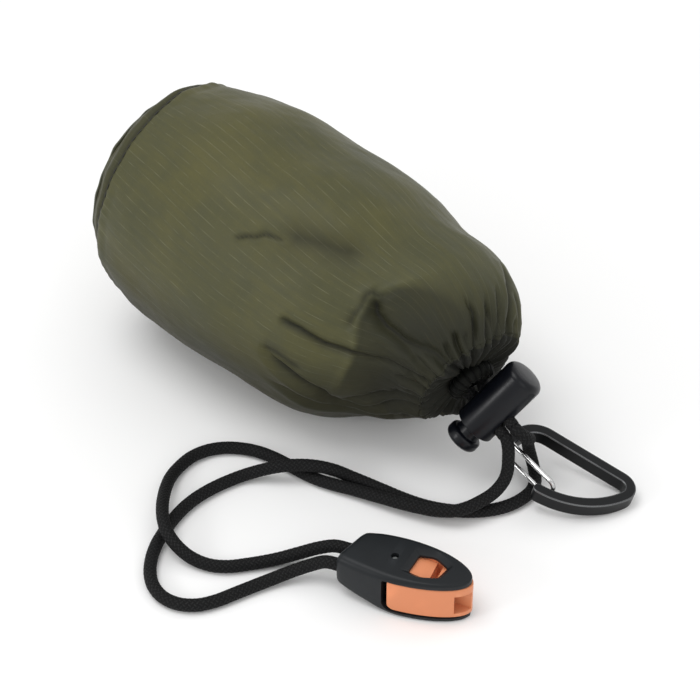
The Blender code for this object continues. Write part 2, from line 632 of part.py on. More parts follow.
def build_carabiner(parts, cutters, anodised, steel):
    line, bow = carabiner_centre_line()
    data = bpy.data.curves.new("carabiner_frame", "CURVE")
    data.dimensions = "2D"
    data.fill_mode = "BOTH"
    data.extrude = BAR_THICKNESS / 2 - BAR_EDGE
    data.bevel_depth = BAR_EDGE
    data.bevel_resolution = 1
    data.offset = -BAR_EDGE
    spline = data.splines.new("POLY")
    outline = bar_outline(line)
    spline.points.add(len(outline) - 1)
    for place, point in zip(spline.points, outline):
        place.co = (point[0], point[1], 0.0, 1.0)
    spline.use_cyclic_u = True
    frame = freeze(add_object("carabiner_frame", data, parts))
    frame.data.materials.clear()
    frame.data.materials.append(anodised)

    tilt = Matrix.Rotation(CARABINER_TILT, 4, "Y")
    lowest = min((tilt @ v.co).z for v in frame.data.vertices)
    place = Matrix.Translation(CARABINER_HOOK + Vector((0, 0, -lowest))) @ tilt
    hook_axis = add_empty("carabiner_swing_axis", Matrix.Translation(CORD_IN_RING), parts)
    frame.parent = hook_axis
    frame.matrix_world = place

    hinge = Vector((*line[0], 0.0))
    height = BAR_THICKNESS / 2 + GATE_SIDE_GAP + WIRE_RADIUS
    gate_axis = add_empty("gate_axis", place @ Matrix.Translation(hinge), parts)
    gate_axis.parent = hook_axis
    gate_axis.matrix_world = place @ Matrix.Translation(hinge)

    inner = ARM_RADIUS - BAR_WIDTH / 2 - GAP - WIRE_RADIUS
    drop = math.sqrt(inner ** 2 - (GATE_REACH - bow[0]) ** 2)
    tip = Vector((GATE_REACH, bow[1] - drop, 0.0)) - hinge
    along = tip.normalized()
    inside = BAR_THICKNESS / 2 - GATE_PIN_DEPTH
    bend = 1.1 * MM
    turn = np.radians((15, 45, 75))
    top = [Vector((0, 0, inside)), Vector((0, 0, height - bend))]
    for t in turn:
        forward, rise = bend * (1 - math.cos(t)), bend * math.sin(t)
        top.append(along * forward + Vector((0, 0, height - bend + rise)))
    top += [along * bend + Vector((0, 0, height))]
    round_tip = height * 0.62
    top += [tip - along * round_tip + Vector((0, 0, height))]
    for t in turn:
        back, drop = round_tip * (1 - math.sin(t)), round_tip * (1 - math.cos(t))
        top.append(tip - along * back + Vector((0, 0, height - drop)))
    top += [tip + Vector((0, 0, height - round_tip))]
    wire = top + [Vector((p.x, p.y, -p.z)) for p in reversed(top)]
    tube("carabiner_gate", wire, WIRE_RADIUS, parts, steel, gate_axis, 2)

    hole = WIRE_RADIUS + 0.2 * MM
    for name, low, high in (("gate_hole_top_cutter", inside - GAP, BAR_THICKNESS),
                            ("gate_hole_bottom_cutter", -BAR_THICKNESS, -inside + GAP)):
        drill = prism(name, circle(hole, 12), low, high, cutters, gate_axis.matrix_world)
        cut(frame, as_cutter(drill))
    shade(frame)
    return place, hinge


def whistle_half_width(u):
    """Half width of the whistle in plan at a distance u from its back."""
    if u < WHISTLE_WIDEST:
        share = (WHISTLE_WIDEST - u) / (WHISTLE_WIDEST - WHISTLE_TAIL)
        return WHISTLE_HALF_WIDTH - (WHISTLE_HALF_WIDTH - WHISTLE_TAIL_HALF_WIDTH) * share ** 2
    share = min((u - WHISTLE_WIDEST) / (WHISTLE_TIP - WHISTLE_WIDEST), 1.0)
    return WHISTLE_HALF_WIDTH * math.sqrt(max(1 - share ** 1.75, 0.0))


def whistle_underside(u):
    """Height of the underside, which rises towards the back."""
    if u > TAIL_RISE_END:
        return 0.0
    return TAIL_RISE * ((TAIL_RISE_END - u) / (TAIL_RISE_END - WHISTLE_TAIL)) ** 1.6


def whistle_section(u, half, low, high, corner):
    """Rounded rectangle across the whistle."""
    corner = min(corner, half * 0.9, (high - low) * 0.45)
    ring = []
    for side, rise, start in ((1, 1, 0), (-1, 1, 90), (-1, -1, 180), (1, -1, 270)):
        middle_v = side * (half - corner)
        middle_w = (high - corner) if rise > 0 else (low + corner)
        for t in np.radians((0, 30, 60, 90)):
            angle = math.radians(start) + t
            ring.append((u, middle_v + corner * math.cos(angle), middle_w + corner * math.sin(angle)))
    return ring


def boat(name, places, half_width, low, high, corner):
    rings = [whistle_section(u, half_width(u), low(u), high, corner) for u in places]
    return outward(loft(name, rings, True, True))


def box_cutter(name, low, high, cutters, frame):
    outline = [(low[0], low[1]), (high[0], low[1]), (high[0], high[1]), (low[0], high[1])]
    return as_cutter(prism(name, outline, low[2], high[2], cutters, frame))


def side_prism(name, outline, half_width, cutters, frame):
    """Cutter with an outline in the whistle's long section, pushed across it."""
    turn = axes_matrix(Vector((1, 0, 0)), Vector((0, 0, 1)), Vector((0, -1, 0)), Vector())
    return as_cutter(prism(name, outline, -half_width, half_width, cutters, frame @ turn))


def build_whistle(parts, cutters, dark, orange, grey, cord):
    frame = Matrix.Translation(WHISTLE_BACK) @ Matrix.Rotation(WHISTLE_TURN, 4, "Z")
    lift_place = Vector((WHISTLE_TAIL - 0.2 * MM, 0.0, BIGHT_HEIGHT))
    lift_frame = frame @ Matrix.Translation(lift_place)
    lift_axis = add_empty("whistle_lift_axis", lift_frame, parts)
    wide = 2 * WHISTLE_HALF_WIDTH
    plate_low = WHISTLE_HEIGHT - TOP_PLATE

    tail = list(np.linspace(WHISTLE_TAIL, WHISTLE_WIDEST, 6))
    nose = WHISTLE_WIDEST + (WHISTLE_TIP - WHISTLE_WIDEST) * np.sin(np.linspace(0, math.pi / 2, 9))[1:-1]
    places = tail + list(nose) + [WHISTLE_TIP - 0.25 * MM]
    mesh = boat("whistle_shell", places, whistle_half_width, whistle_underside, WHISTLE_HEIGHT, 1.6 * MM)
    shell = add_object("whistle_shell", mesh, parts, dark, lift_axis)
    shell.matrix_world = frame
    pocket_half_height = CORD_RADIUS + CORD_CLEARANCE + 0.1 * MM
    pocket_low, pocket_high = BIGHT_HEIGHT - pocket_half_height, BIGHT_HEIGHT + pocket_half_height
    cut(shell, box_cutter("side_opening_cutter", (SIDE_OPENING_START, -wide, BOTTOM_PLATE),
                          (WHISTLE_TIP + wide, wide, plate_low), cutters, frame))
    cut(shell, box_cutter("pocket_cutter", (WHISTLE_TAIL - wide, -POCKET_HALF_WIDTH, pocket_low),
                          (SIDE_OPENING_START + GAP, POCKET_HALF_WIDTH, pocket_high), cutters, frame))
    hole = prism("pin_hole_cutter", circle(PIN_RADIUS + PIN_CLEARANCE, 16, (PIN_PLACE, 0.0)), PIN_FOOT,
                 2 * WHISTLE_HEIGHT, cutters, frame)
    cut(shell, as_cutter(hole))
    ramp = [(WINDOW_START - 2.4 * MM, WHISTLE_HEIGHT + 0.1 * MM), (WINDOW_START, plate_low - 1 * MM),
            (WINDOW_END, plate_low - 1 * MM), (WINDOW_END, WHISTLE_HEIGHT + 0.1 * MM)]
    cut(shell, side_prism("window_cutter", ramp, WINDOW_HALF_WIDTH, cutters, frame))
    shade(shell)

    core_start = SIDE_OPENING_START + CORE_SETBACK
    core_low, core_high = BOTTOM_PLATE + GAP, plate_low - GAP
    core_end = WHISTLE_TIP + CORE_PROUD
    core_places = [core_start, WHISTLE_WIDEST + 1.5 * MM, *nose[1:], WHISTLE_TIP - 0.2 * MM, core_end]

    def core_half_width(u):
        return max(whistle_half_width(u) - 0.2 * MM, 1.6 * MM)

    mesh = boat("whistle_core", core_places, core_half_width, lambda u: core_low, core_high, 0.5 * MM)
    core = add_object("whistle_core", mesh, parts, orange, lift_axis)
    core.matrix_world = frame
    bight_room = PIN_RADIUS + 2 * (CORD_CLEARANCE + CORD_RADIUS) + 0.1 * MM
    round_pin = circle(bight_room, 24, (PIN_PLACE, 0.0))
    notch = prism("bight_notch_cutter", round_pin, pocket_low, pocket_high, cutters, frame)
    cut(core, as_cutter(notch))
    beside_pin = circle(PIN_RADIUS + GAP, 16, (PIN_PLACE, 0.0))
    cut(core, as_cutter(prism("core_pin_cutter", beside_pin, 0.0, WHISTLE_HEIGHT, cutters, frame)))
    cut(core, box_cutter("duct_cutter", (DUCT_START, -DUCT_HALF_WIDTH, DUCT_LOW),
                         (core_end + DUCT_CUT_MARGIN, DUCT_HALF_WIDTH, DUCT_HIGH), cutters, frame))
    fipple = [(WINDOW_START + 0.3 * MM, WHISTLE_HEIGHT), (WINDOW_START + 0.3 * MM, core_high - 0.1 * MM),
              (DUCT_START - 0.6 * MM, DUCT_HIGH - 1.8 * MM), (WINDOW_END - 0.6 * MM, DUCT_HIGH - 1.8 * MM),
              (WINDOW_END - 0.6 * MM, WHISTLE_HEIGHT)]
    cut(core, side_prism("fipple_cutter", fipple, WINDOW_HALF_WIDTH - 0.3 * MM, cutters, frame))
    shade(core)

    pin_top = WHISTLE_HEIGHT - PIN_SUNK
    profile = [(0.0, pin_top), (PIN_RADIUS - 0.2 * MM, pin_top), (PIN_RADIUS, pin_top - 0.2 * MM),
               (PIN_RADIUS, PIN_FOOT + GAP), (0.0, PIN_FOOT + GAP)]
    pin = turned("whistle_pin", profile, 20, parts, grey, lift_axis)
    pin.matrix_world = frame @ Matrix.Translation((PIN_PLACE, 0.0, 0.0))
    shade(pin)

    half = PIN_RADIUS + CORD_CLEARANCE + CORD_RADIUS
    start = lift_place.x + LIFT_GAP_BIGHT
    bend = np.linspace(math.pi / 2, -math.pi / 2, 9)
    arc = [(PIN_PLACE + half * math.cos(t), half * math.sin(t)) for t in bend]
    flat = [(start, half), (PIN_PLACE / 2, half)] + arc + [(PIN_PLACE / 2, -half), (start, -half)]
    loop = [frame @ Vector((u, v, BIGHT_HEIGHT)) for u, v in flat]
    loop = [lift_frame.inverted() @ p for p in loop]
    bight = tube("cord_bight", loop, CORD_RADIUS, parts, cord, lift_axis)
    end = lift_place.x - LIFT_GAP_STRAND
    ends = [frame @ Vector((end, v, BIGHT_HEIGHT)) for v in (half, -half)]
    return bight, ends, frame.to_3x3() @ Vector((1, 0, 0))


def build_strand(name, route, side, end, into, parts, cord):
    """One free strand: straight out of the lock, along its route, and into the whistle's back."""
    out = SLOT_CENTRE + LOCK_AXIS * (side * STRAND_SPACING / 2) + CORD_AXIS * (STRAND_END + GAP / 2)
    leave, arrive = out + CORD_AXIS * LEAD, end - into * LEAD
    points = [leave, *[Vector(p) * MM for p in route], arrive]
    smooth, length = curve_through(points, ROUTE_SPACING)
    print(name, "points", len(smooth) + 2, "length mm", round((length + 2 * LEAD) / MM, 1))
    return tube(name, [out, *[tuple(p) for p in smooth], end], CORD_RADIUS, parts, cord)


def main():
    clear_scene()
    parts = make_collection("emergency_bivvy_bag")
    cutters = make_collection("cutters")

    nylon = plain_material("olive_nylon", (0.075, 0.075, 0.045), 0.55)
    base_nylon = plain_material("olive_nylon_base", (0.070, 0.070, 0.042), 0.55)
    hem_nylon = plain_material("olive_nylon_hem", (0.045, 0.046, 0.032), 0.6)
    welt = plain_material("seam_welt", (0.030, 0.032, 0.022), 0.7)
    film = plain_material("metallised_film", (0.80, 0.80, 0.78), 0.25, 0.9)
    cord = plain_material("black_cord", (0.012, 0.012, 0.013), 0.85)
    lock_black = plain_material("lock_plastic", (0.018, 0.019, 0.022), 0.42)
    spring_steel = plain_material("spring_steel", (0.55, 0.55, 0.55), 0.3, 1.0)
    anodised = plain_material("black_anodised", (0.020, 0.022, 0.022), 0.38, 0.6)
    gate_steel = plain_material("gate_steel", (0.62, 0.62, 0.62), 0.22, 1.0)
    shell_plastic = plain_material("whistle_plastic", (0.035, 0.042, 0.045), 0.5)
    orange = plain_material("orange_plastic", (0.80, 0.26, 0.12), 0.45)
    peg = plain_material("grey_peg", (0.22, 0.22, 0.23), 0.4)

    build_sack(parts, nylon)
    build_base(parts, base_nylon, welt)
    build_roll(parts, film)
    build_hem(parts, cutters, hem_nylon)
    build_drawcord(parts, cord)
    build_lock(parts, cutters, lock_black, spring_steel)
    build_carabiner(parts, cutters, anodised, gate_steel)
    bight, ends, into = build_whistle(parts, cutters, shell_plastic, orange, peg, cord)
    build_strand("cord_strand_left", LEFT_ROUTE, -1, ends[0], into, parts, cord)
    build_strand("cord_strand_right", RIGHT_ROUTE, 1, ends[1], into, parts, cord)


main()
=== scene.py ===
import math

import bmesh
import bpy
import numpy as np
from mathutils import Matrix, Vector


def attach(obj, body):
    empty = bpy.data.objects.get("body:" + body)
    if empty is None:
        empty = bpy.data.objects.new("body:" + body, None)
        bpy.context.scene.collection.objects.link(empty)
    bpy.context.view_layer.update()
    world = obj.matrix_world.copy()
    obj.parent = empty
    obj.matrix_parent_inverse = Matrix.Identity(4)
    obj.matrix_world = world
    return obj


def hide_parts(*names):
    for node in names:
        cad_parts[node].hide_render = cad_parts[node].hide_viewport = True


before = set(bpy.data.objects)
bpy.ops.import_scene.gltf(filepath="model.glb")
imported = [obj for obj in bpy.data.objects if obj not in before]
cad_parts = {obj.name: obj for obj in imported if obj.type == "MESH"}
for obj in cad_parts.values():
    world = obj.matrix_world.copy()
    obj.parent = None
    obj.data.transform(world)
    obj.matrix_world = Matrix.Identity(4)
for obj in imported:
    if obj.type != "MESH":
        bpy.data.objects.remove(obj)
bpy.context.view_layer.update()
mm = 0.001
fullTurn = 2 * math.pi
print("stage: frame loaded")

view = {"azimuth": 41.2, "elevation": 40.0, "distance": 0.72, "target": (0.0161, -0.0028, 0.02),
        "lens": 113.87, "sensor": 36.0, "nearest": 0.01, "farthest": 50.0}


def makeCamera():
    data = bpy.data.cameras.new("photoCamera")
    data.lens, data.sensor_width = view["lens"], view["sensor"]
    data.clip_start, data.clip_end = view["nearest"], view["farthest"]
    camera = bpy.data.objects.new("photoCamera", data)
    bpy.context.scene.collection.objects.link(camera)
    turn, rise = math.radians(view["azimuth"]), math.radians(view["elevation"])
    back = Vector((math.sin(turn) * math.cos(rise), -math.cos(turn) * math.cos(rise), math.sin(rise)))
    camera.location = Vector(view["target"]) + back * view["distance"]
    camera.rotation_euler = (-back).to_track_quat("-Z", "Y").to_euler()
    bpy.context.scene.camera = camera


makeCamera()
print("stage: camera set")


# Shader maths: a Value is a socket, and sums on it become Math nodes
class Value:
    def __init__(self, finish, socket):
        self.finish, self.socket = finish, socket

    def join(self, operation, *values):
        return self.finish.node("ShaderNodeMath", {"operation": operation}, dict(enumerate(values)))

    def __add__(self, other):
        return self.join("ADD", self, other)

    def __radd__(self, other):
        return self.join("ADD", other, self)

    def __sub__(self, other):
        return self.join("SUBTRACT", self, other)

    def __rsub__(self, other):
        return self.join("SUBTRACT", other, self)

    def __mul__(self, other):
        return self.join("MULTIPLY", self, other)

    def __rmul__(self, other):
        return self.join("MULTIPLY", other, self)

    def sine(self):
        return self.join("SINE", self)

    def size(self):
        return self.join("ABSOLUTE", self)

    def fraction(self):
        return self.join("FRACT", self)

    def atLeast(self, other):
        return self.join("MAXIMUM", self, other)

    # A smooth step from 0 at low to 1 at high
    def step(self, low, high):
        return self.finish.node("ShaderNodeMapRange", {"interpolation_type": "SMOOTHSTEP"},
                                {"Value": self, "From Min": low, "From Max": high, "To Min": 0.0, "To Max": 1.0})


class Finish:
    sockets = {"coat": "Coat Weight", "coatRoughness": "Coat Roughness", "sheen": "Sheen Weight",
               "sheenRoughness": "Sheen Roughness", "specular": "Specular IOR Level"}

    def __init__(self, name, colour, roughness, metallic=0.0, **others):
        self.material = bpy.data.materials.new(name)
        self.material.use_nodes = True
        self.material.diffuse_color = (*colour, 1.0)
        self.tree = self.material.node_tree
        self.shader = self.tree.nodes["Principled BSDF"]
        self.give("Base Color", (*colour, 1.0))
        self.give("Roughness", roughness)
        self.give("Metallic", metallic)
        for name, value in others.items():
            self.give(self.sockets[name], value)

    def feed(self, socket, value):
        if isinstance(value, Value):
            self.tree.links.new(value.socket, socket)
        else:
            socket.default_value = value

    def give(self, socketName, value):
        self.feed(self.shader.inputs[socketName], value)

    # Any node: its type, its settings, then the values or links of its sockets
    def node(self, kind, settings=None, inputs=None, output=0):
        made = self.tree.nodes.new(kind)
        for name, value in (settings or {}).items():
            setattr(made, name, value)
        for name, value in (inputs or {}).items():
            self.feed(made.inputs[name], value)
        return Value(self, made.outputs[output])

    def place(self, scale=(1.0, 1.0, 1.0), turn=(0.0, 0.0, 0.0)):
        where = self.node("ShaderNodeTexCoord", output="Object")
        return self.node("ShaderNodeMapping", {}, {"Vector": where, "Scale": scale, "Rotation": turn})

    def noise(self, place, scale, detail=2.0, roughness=0.5):
        return self.node("ShaderNodeTexNoise", {}, {"Vector": place, "Scale": scale, "Detail": detail,
                                                    "Roughness": roughness})

    def mix(self, share, first, second):
        first, second = [c if isinstance(c, Value) else (*c, 1.0) for c in (first, second)]
        return self.node("ShaderNodeMix", {"data_type": "RGBA"}, {0: share, 6: first, 7: second}, 2)

    # The two directions of the piece's own UV map
    def flatPlace(self):
        where = self.node("ShaderNodeTexCoord", output="UV")
        outputs = self.node("ShaderNodeSeparateXYZ", {}, {"Vector": where}).socket.node.outputs
        return Value(self, outputs[0]), Value(self, outputs[1])

    def vector(self, x, y):
        return self.node("ShaderNodeCombineXYZ", {}, {0: x, 1: y, 2: 0.0})

    def attribute(self, name):
        return self.node("ShaderNodeAttribute", {"attribute_name": name}, {}, "Fac")

    def bump(self, height, distance, strength):
        values = {"Height": height, "Distance": distance, "Strength": strength}
        self.give("Normal", self.node("ShaderNodeBump", {}, values))


def scaled(colour, *share):
    return tuple(np.array(colour) * (share if len(share) > 1 else share[0]))


# A mesh from whole arrays; faces is a list of arrays, one for each number of sides
def meshObject(name, points, faces, material, corners=None, values=None, smooth=True):
    mesh = bpy.data.meshes.new(name)
    mesh.vertices.add(len(points))
    mesh.vertices.foreach_set("co", np.asarray(points, np.float32).ravel())
    sides = np.concatenate([np.full(len(group), group.shape[1]) for group in faces])
    mesh.loops.add(int(sides.sum()))
    mesh.loops.foreach_set("vertex_index", np.concatenate([group.ravel() for group in faces]).astype(np.int32))
    mesh.polygons.add(len(sides))
    mesh.polygons.foreach_set("loop_start", (np.cumsum(sides) - sides).astype(np.int32))
    mesh.update(calc_edges=True)
    if corners is not None:
        mesh.uv_layers.new(name="UVMap").data.foreach_set("uv", corners.astype(np.float32).ravel())
    for key, array in (values or {}).items():
        mesh.attributes.new(key, "FLOAT", "POINT").data.foreach_set("value", array.astype(np.float32))
    mesh.polygons.foreach_set("use_smooth", np.full(len(sides), smooth))
    mesh.materials.append(material)
    piece = bpy.data.objects.new(name, mesh)
    bpy.context.scene.collection.objects.link(piece)
    return piece


# A grid of points, rows by columns, with its columns closed on themselves; poles close the ends, and where they
# are True they lie in the middle of the first row and the last
def surface(name, grid, material, uv=None, values=None, poles=None):
    rows, columns = grid.shape[:2]
    r, c = np.meshgrid(np.arange(rows - 1), np.arange(columns), indexing="ij")
    ahead = (c + 1) % columns
    faces = [np.stack([r * columns + c, r * columns + ahead, (r + 1) * columns + ahead,
                       (r + 1) * columns + c], axis=-1).reshape(-1, 4)]
    points, corners = grid.reshape(-1, 3), None
    if uv is not None:
        corners = np.stack([uv[r, c], uv[r, c + 1], uv[r + 1, c + 1], uv[r + 1, c]], axis=-2).reshape(-1, 2)
    values = {key: np.asarray(array, float).ravel() for key, array in (values or {}).items()}
    if poles is not None:
        poles = grid[[0, -1]].mean(axis=1) if poles is True else poles
        first, last = len(points), (rows - 1) * columns
        points = np.vstack([points, poles])
        values = {key: np.append(array, [array[0], array[-1]]) for key, array in values.items()}
        turn = np.arange(columns)
        after = (turn + 1) % columns
        start = np.stack([np.full(columns, first), after, turn], axis=1)
        end = np.stack([np.full(columns, first + 1), last + turn, last + after], axis=1)
        faces.append(np.vstack([start, end]))
        if uv is not None:
            fan = np.repeat(np.concatenate((uv[0, :-1], uv[-1, :-1])), 3, axis=0)
            corners = np.concatenate([corners, fan])
    piece = meshObject(name, points, faces, material, corners, values)
    turnOutward(piece)
    return piece


# The signed volume of the faces' tetrahedra to the middle says which way they point
def turnOutward(piece):
    mesh = piece.data
    mesh.calc_loop_triangles()
    corners = np.zeros(len(mesh.loop_triangles) * 3, np.int32)
    mesh.loop_triangles.foreach_get("vertices", corners)
    points = np.zeros(len(mesh.vertices) * 3, np.float32)
    mesh.vertices.foreach_get("co", points)
    a, b, c = points.reshape(-1, 3)[corners.reshape(-1, 3)].transpose(1, 0, 2).astype(float)
    middle = points.reshape(-1, 3).mean(axis=0)
    if np.einsum("ij,ij->i", a - middle, np.cross(b - middle, c - middle)).sum() < 0:
        mesh.flip_normals()


# The body that a piece rides on, its material slot, which is not used, and the nodes it stands for
def fit(piece, body, slot, *nodes):
    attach(piece, body)
    for node in nodes:
        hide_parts(node)


def unit(vectors):
    return vectors / (np.linalg.norm(vectors, axis=-1, keepdims=True) + 1e-12)


def ease(x, low, high):
    t = np.clip((x - low) / (high - low), 0.0, 1.0)
    return t * t * (3 - 2 * t)


# A bell round the middle, falling to 1/e at width
def bell(x, middle, width):
    return np.exp(-((x - middle) / width) ** 2)


def around(count):
    return np.linspace(0, fullTurn, count, endpoint=False)


# cos(t) first + sin(t) second, for every t
def circled(t, first, second):
    return np.cos(t)[..., None] * first + np.sin(t)[..., None] * second


# UV maps: one value for each row and one for each column
def crossed(rows, columns):
    u, v = np.meshgrid(rows, columns, indexing="ij")
    return np.stack([u, v], axis=-1)


# Length run along a line of points, at each point
def runAlong(line):
    return np.concatenate([[0.0], np.cumsum(np.linalg.norm(np.diff(line, axis=0), axis=1))])


# Centripetal Catmull-Rom through the points, read at even steps
def smoothPath(points, step, fine=24):
    points = np.asarray(points, float)
    points = np.vstack([2 * points[0] - points[1], points, 2 * points[-1] - points[-2]])
    p = [points[k:len(points) - 3 + k][:, None, :] for k in range(4)]
    gap = [np.sqrt(np.linalg.norm(p[k + 1] - p[k], axis=2, keepdims=True)) for k in range(3)]
    t1, t2, t3 = gap[0], gap[0] + gap[1], gap[0] + gap[1] + gap[2]
    t = t1 + (t2 - t1) * np.linspace(0, 1, fine, endpoint=False)[None, :, None]
    a1 = (t1 - t) / t1 * p[0] + t / t1 * p[1]
    a2 = (t2 - t) / (t2 - t1) * p[1] + (t - t1) / (t2 - t1) * p[2]
    a3 = (t3 - t) / (t3 - t2) * p[2] + (t - t2) / (t3 - t2) * p[3]
    b1 = (t2 - t) / t2 * a1 + t / t2 * a2
    b2 = (t3 - t) / (t3 - t1) * a2 + (t - t1) / (t3 - t1) * a3
    line = ((t2 - t) / (t2 - t1) * b1 + (t - t1) / (t2 - t1) * b2).reshape(-1, 3)
    line = np.vstack([line, points[-2]])
    run = runAlong(line)
    where = np.linspace(0, run[-1], max(3, int(round(run[-1] / step)) + 1))
    return np.stack([np.interp(where, run, line[:, k]) for k in range(3)], axis=1), run[-1]


# Two directions across a path, carried along it without twisting
def pathFrames(path):
    along = unit(np.gradient(path, axis=0))
    across = np.zeros_like(path)
    side = np.cross(along[0], (0.0, 0.0, 1.0))
    across[0] = unit(side if np.linalg.norm(side) > 0.1 else np.cross(along[0], (0.0, 1.0, 0.0)))
    for k in range(1, len(path)):
        across[k] = unit(across[k - 1] - along[k] * (across[k - 1] @ along[k]))
    return across, np.cross(along, across)


braid = {"radius": 2.0 * mm, "step": 0.36 * mm, "sides": 40, "pitch": 3.1, "height": 0.13 * mm,
         "colour": (0.0035, 0.0036, 0.0038), "light": (0.019, 0.0195, 0.020)}
lockPlace = {"cordAxis": np.array((0.912893, -0.182945, -0.364906)),
             "lockAxis": np.array((0.40502, 0.517305, 0.753902)),
             "slotCentre": np.array((0.073285, -0.001252, 0.026738)),
             "strandSpacing": 4.4 * mm, "strandEnd": 9.3 * mm, "lead": 0.8 * mm}
whistleTurn = math.radians(18.5)
whistlePlace = {"back": np.array((72.3, -65.4, 0.0)) * mm, "bightHeight": 8.6 * mm, "strandPlace": -1.95 * mm,
                "ahead": np.array((math.cos(whistleTurn), math.sin(whistleTurn), 0.0)),
                "side": np.array((-math.sin(whistleTurn), math.cos(whistleTurn), 0.0)),
                "halfBight": 3.6 * mm, "pin": 13.3 * mm, "bightStart": -1.9 * mm}
# The strands' points in millimetres, the same as the solids'
routes = {
    "left": [(83.5, -5.4, 19.0), (84.6, -6.6, 16.2), (85.4, -7.7, 13.3), (85.8, -9.3, 10.8), (85.7, -11.8, 8.8),
             (85.2, -15.0, 7.5), (84.2, -19.0, 6.9), (82.5, -23.4, 6.3), (80.0, -26.8, 5.7), (75.4, -29.8, 5.0),
             (70.1, -31.9, 4.5), (64.6, -33.7, 4.1), (59.0, -35.2, 3.7), (53.4, -36.6, 3.2), (47.8, -38.1, 2.8),
             (42.3, -39.8, 2.4), (36.7, -41.3, 2.2), (31.0, -42.1, 2.1), (25.2, -42.4, 2.1), (19.4, -42.9, 2.1),
             (13.8, -44.1, 2.1), (8.5, -46.5, 2.1), (3.9, -50.0, 2.1), (0.6, -54.6, 2.1), (-1.0, -60.1, 2.1),
             (-0.7, -65.9, 2.1), (1.0, -71.4, 2.7), (3.9, -76.3, 3.7), (7.3, -80.8, 4.9), (11.1, -85.1, 6.0),
             (15.3, -89.0, 6.6), (20.1, -92.1, 6.3), (25.5, -93.4, 4.7), (30.9, -92.9, 2.9), (36.3, -91.1, 2.1),
             (41.1, -88.0, 2.1), (45.6, -82.6, 2.1), (50.6, -76.2, 2.6), (55.0, -71.2, 4.2), (59.6, -67.0, 6.4),
             (64.0, -64.4, 8.2)],
    "right": [(85.2, -1.4, 23.4), (86.1, 0.2, 21.4), (85.6, 2.4, 19.0), (84.1, 4.5, 16.6), (82.6, 6.0, 14.0),
              (82.1, 7.0, 11.3), (82.3, 7.6, 8.6), (83.4, 7.5, 5.9), (85.6, 6.2, 3.6), (88.3, 3.5, 2.3),
              (90.1, -0.8, 2.1), (90.2, -5.6, 2.1), (88.9, -10.9, 2.1), (86.1, -15.9, 2.1), (82.2, -20.3, 2.1),
              (77.6, -23.9, 2.1), (72.5, -26.8, 2.1), (67.0, -28.9, 2.1), (61.2, -30.3, 2.1), (55.4, -31.3, 2.1),
              (49.6, -32.3, 2.1), (44.2, -34.2, 3.1), (39.6, -37.2, 5.3), (35.0, -40.6, 6.6), (30.3, -44.2, 6.7),
              (26.0, -48.1, 6.1), (21.6, -51.5, 4.3), (17.7, -55.5, 2.5), (15.4, -60.9, 2.1), (14.0, -66.6, 2.1),
              (13.3, -72.5, 2.1), (13.5, -78.3, 2.1), (14.6, -84.1, 2.1), (16.3, -89.8, 2.1), (18.4, -95.2, 2.1),
              (21.4, -100.3, 2.1), (25.2, -104.8, 2.1), (29.9, -108.2, 2.1), (35.5, -109.7, 2.1),
              (41.1, -108.6, 2.1), (45.7, -105.1, 2.1), (48.7, -100.1, 2.1), (50.7, -94.6, 2.1),
              (52.7, -89.0, 2.1), (55.2, -83.2, 2.5), (58.4, -77.8, 3.8), (62.2, -73.8, 5.9), (66.2, -71.2, 8.1)]}
# The cord through the lock and once round inside the hem, in millimetres
drawcordPoints = [
    (82.53, -1.79, 25.06), (76.0, -0.48, 27.67), (71.44, 0.43, 29.49), (68.06, 1.11, 30.84), (66.57, 2.36, 31.42),
    (65.87, 2.89, 33.25), (66.53, 2.99, 34.85), (67.07, 2.52, 36.42), (67.42, 1.54, 37.81), (67.56, 0.16, 38.84),
    (67.46, -1.47, 39.41), (67.14, -3.17, 39.46), (66.63, -4.75, 38.97), (65.99, -6.03, 38.01),
    (65.29, -6.88, 36.68), (64.6, -7.2, 35.13), (64.01, -6.96, 33.52), (63.57, -6.18, 32.04),
    (63.34, -4.94, 30.85), (63.35, -3.39, 30.08), (64.71, -2.26, 29.09), (66.28, -1.16, 27.52),
    (69.66, -1.84, 26.17), (74.22, -2.76, 24.35), (80.75, -4.06, 21.74)]


def braidFinish():
    finish = Finish("blackBraid", braid["colour"], 0.7, specular=0.22)
    u, v = finish.flatPlace()
    along, across = u * (fullTurn / braid["pitch"]), v * (fullTurn * 4)
    first, second = (along + across).sine(), (along - across).sine()
    over = (first * second).step(-0.25, 0.25)
    crossing = (first.size() * (over * 0.45 + 0.55)).atLeast(second.size() * (1.0 - over * 0.45))
    yarn = finish.noise(finish.place(), 2600.0)
    share = (crossing * 0.7 + yarn * 0.5).step(0.72, 1.15)
    finish.give("Base Color", finish.mix(share, braid["colour"], braid["light"]))
    finish.give("Roughness", 0.80 - share * 0.22)
    finish.bump(crossing * 0.8 + yarn * 0.45, 0.00022, 0.9)
    return finish.material


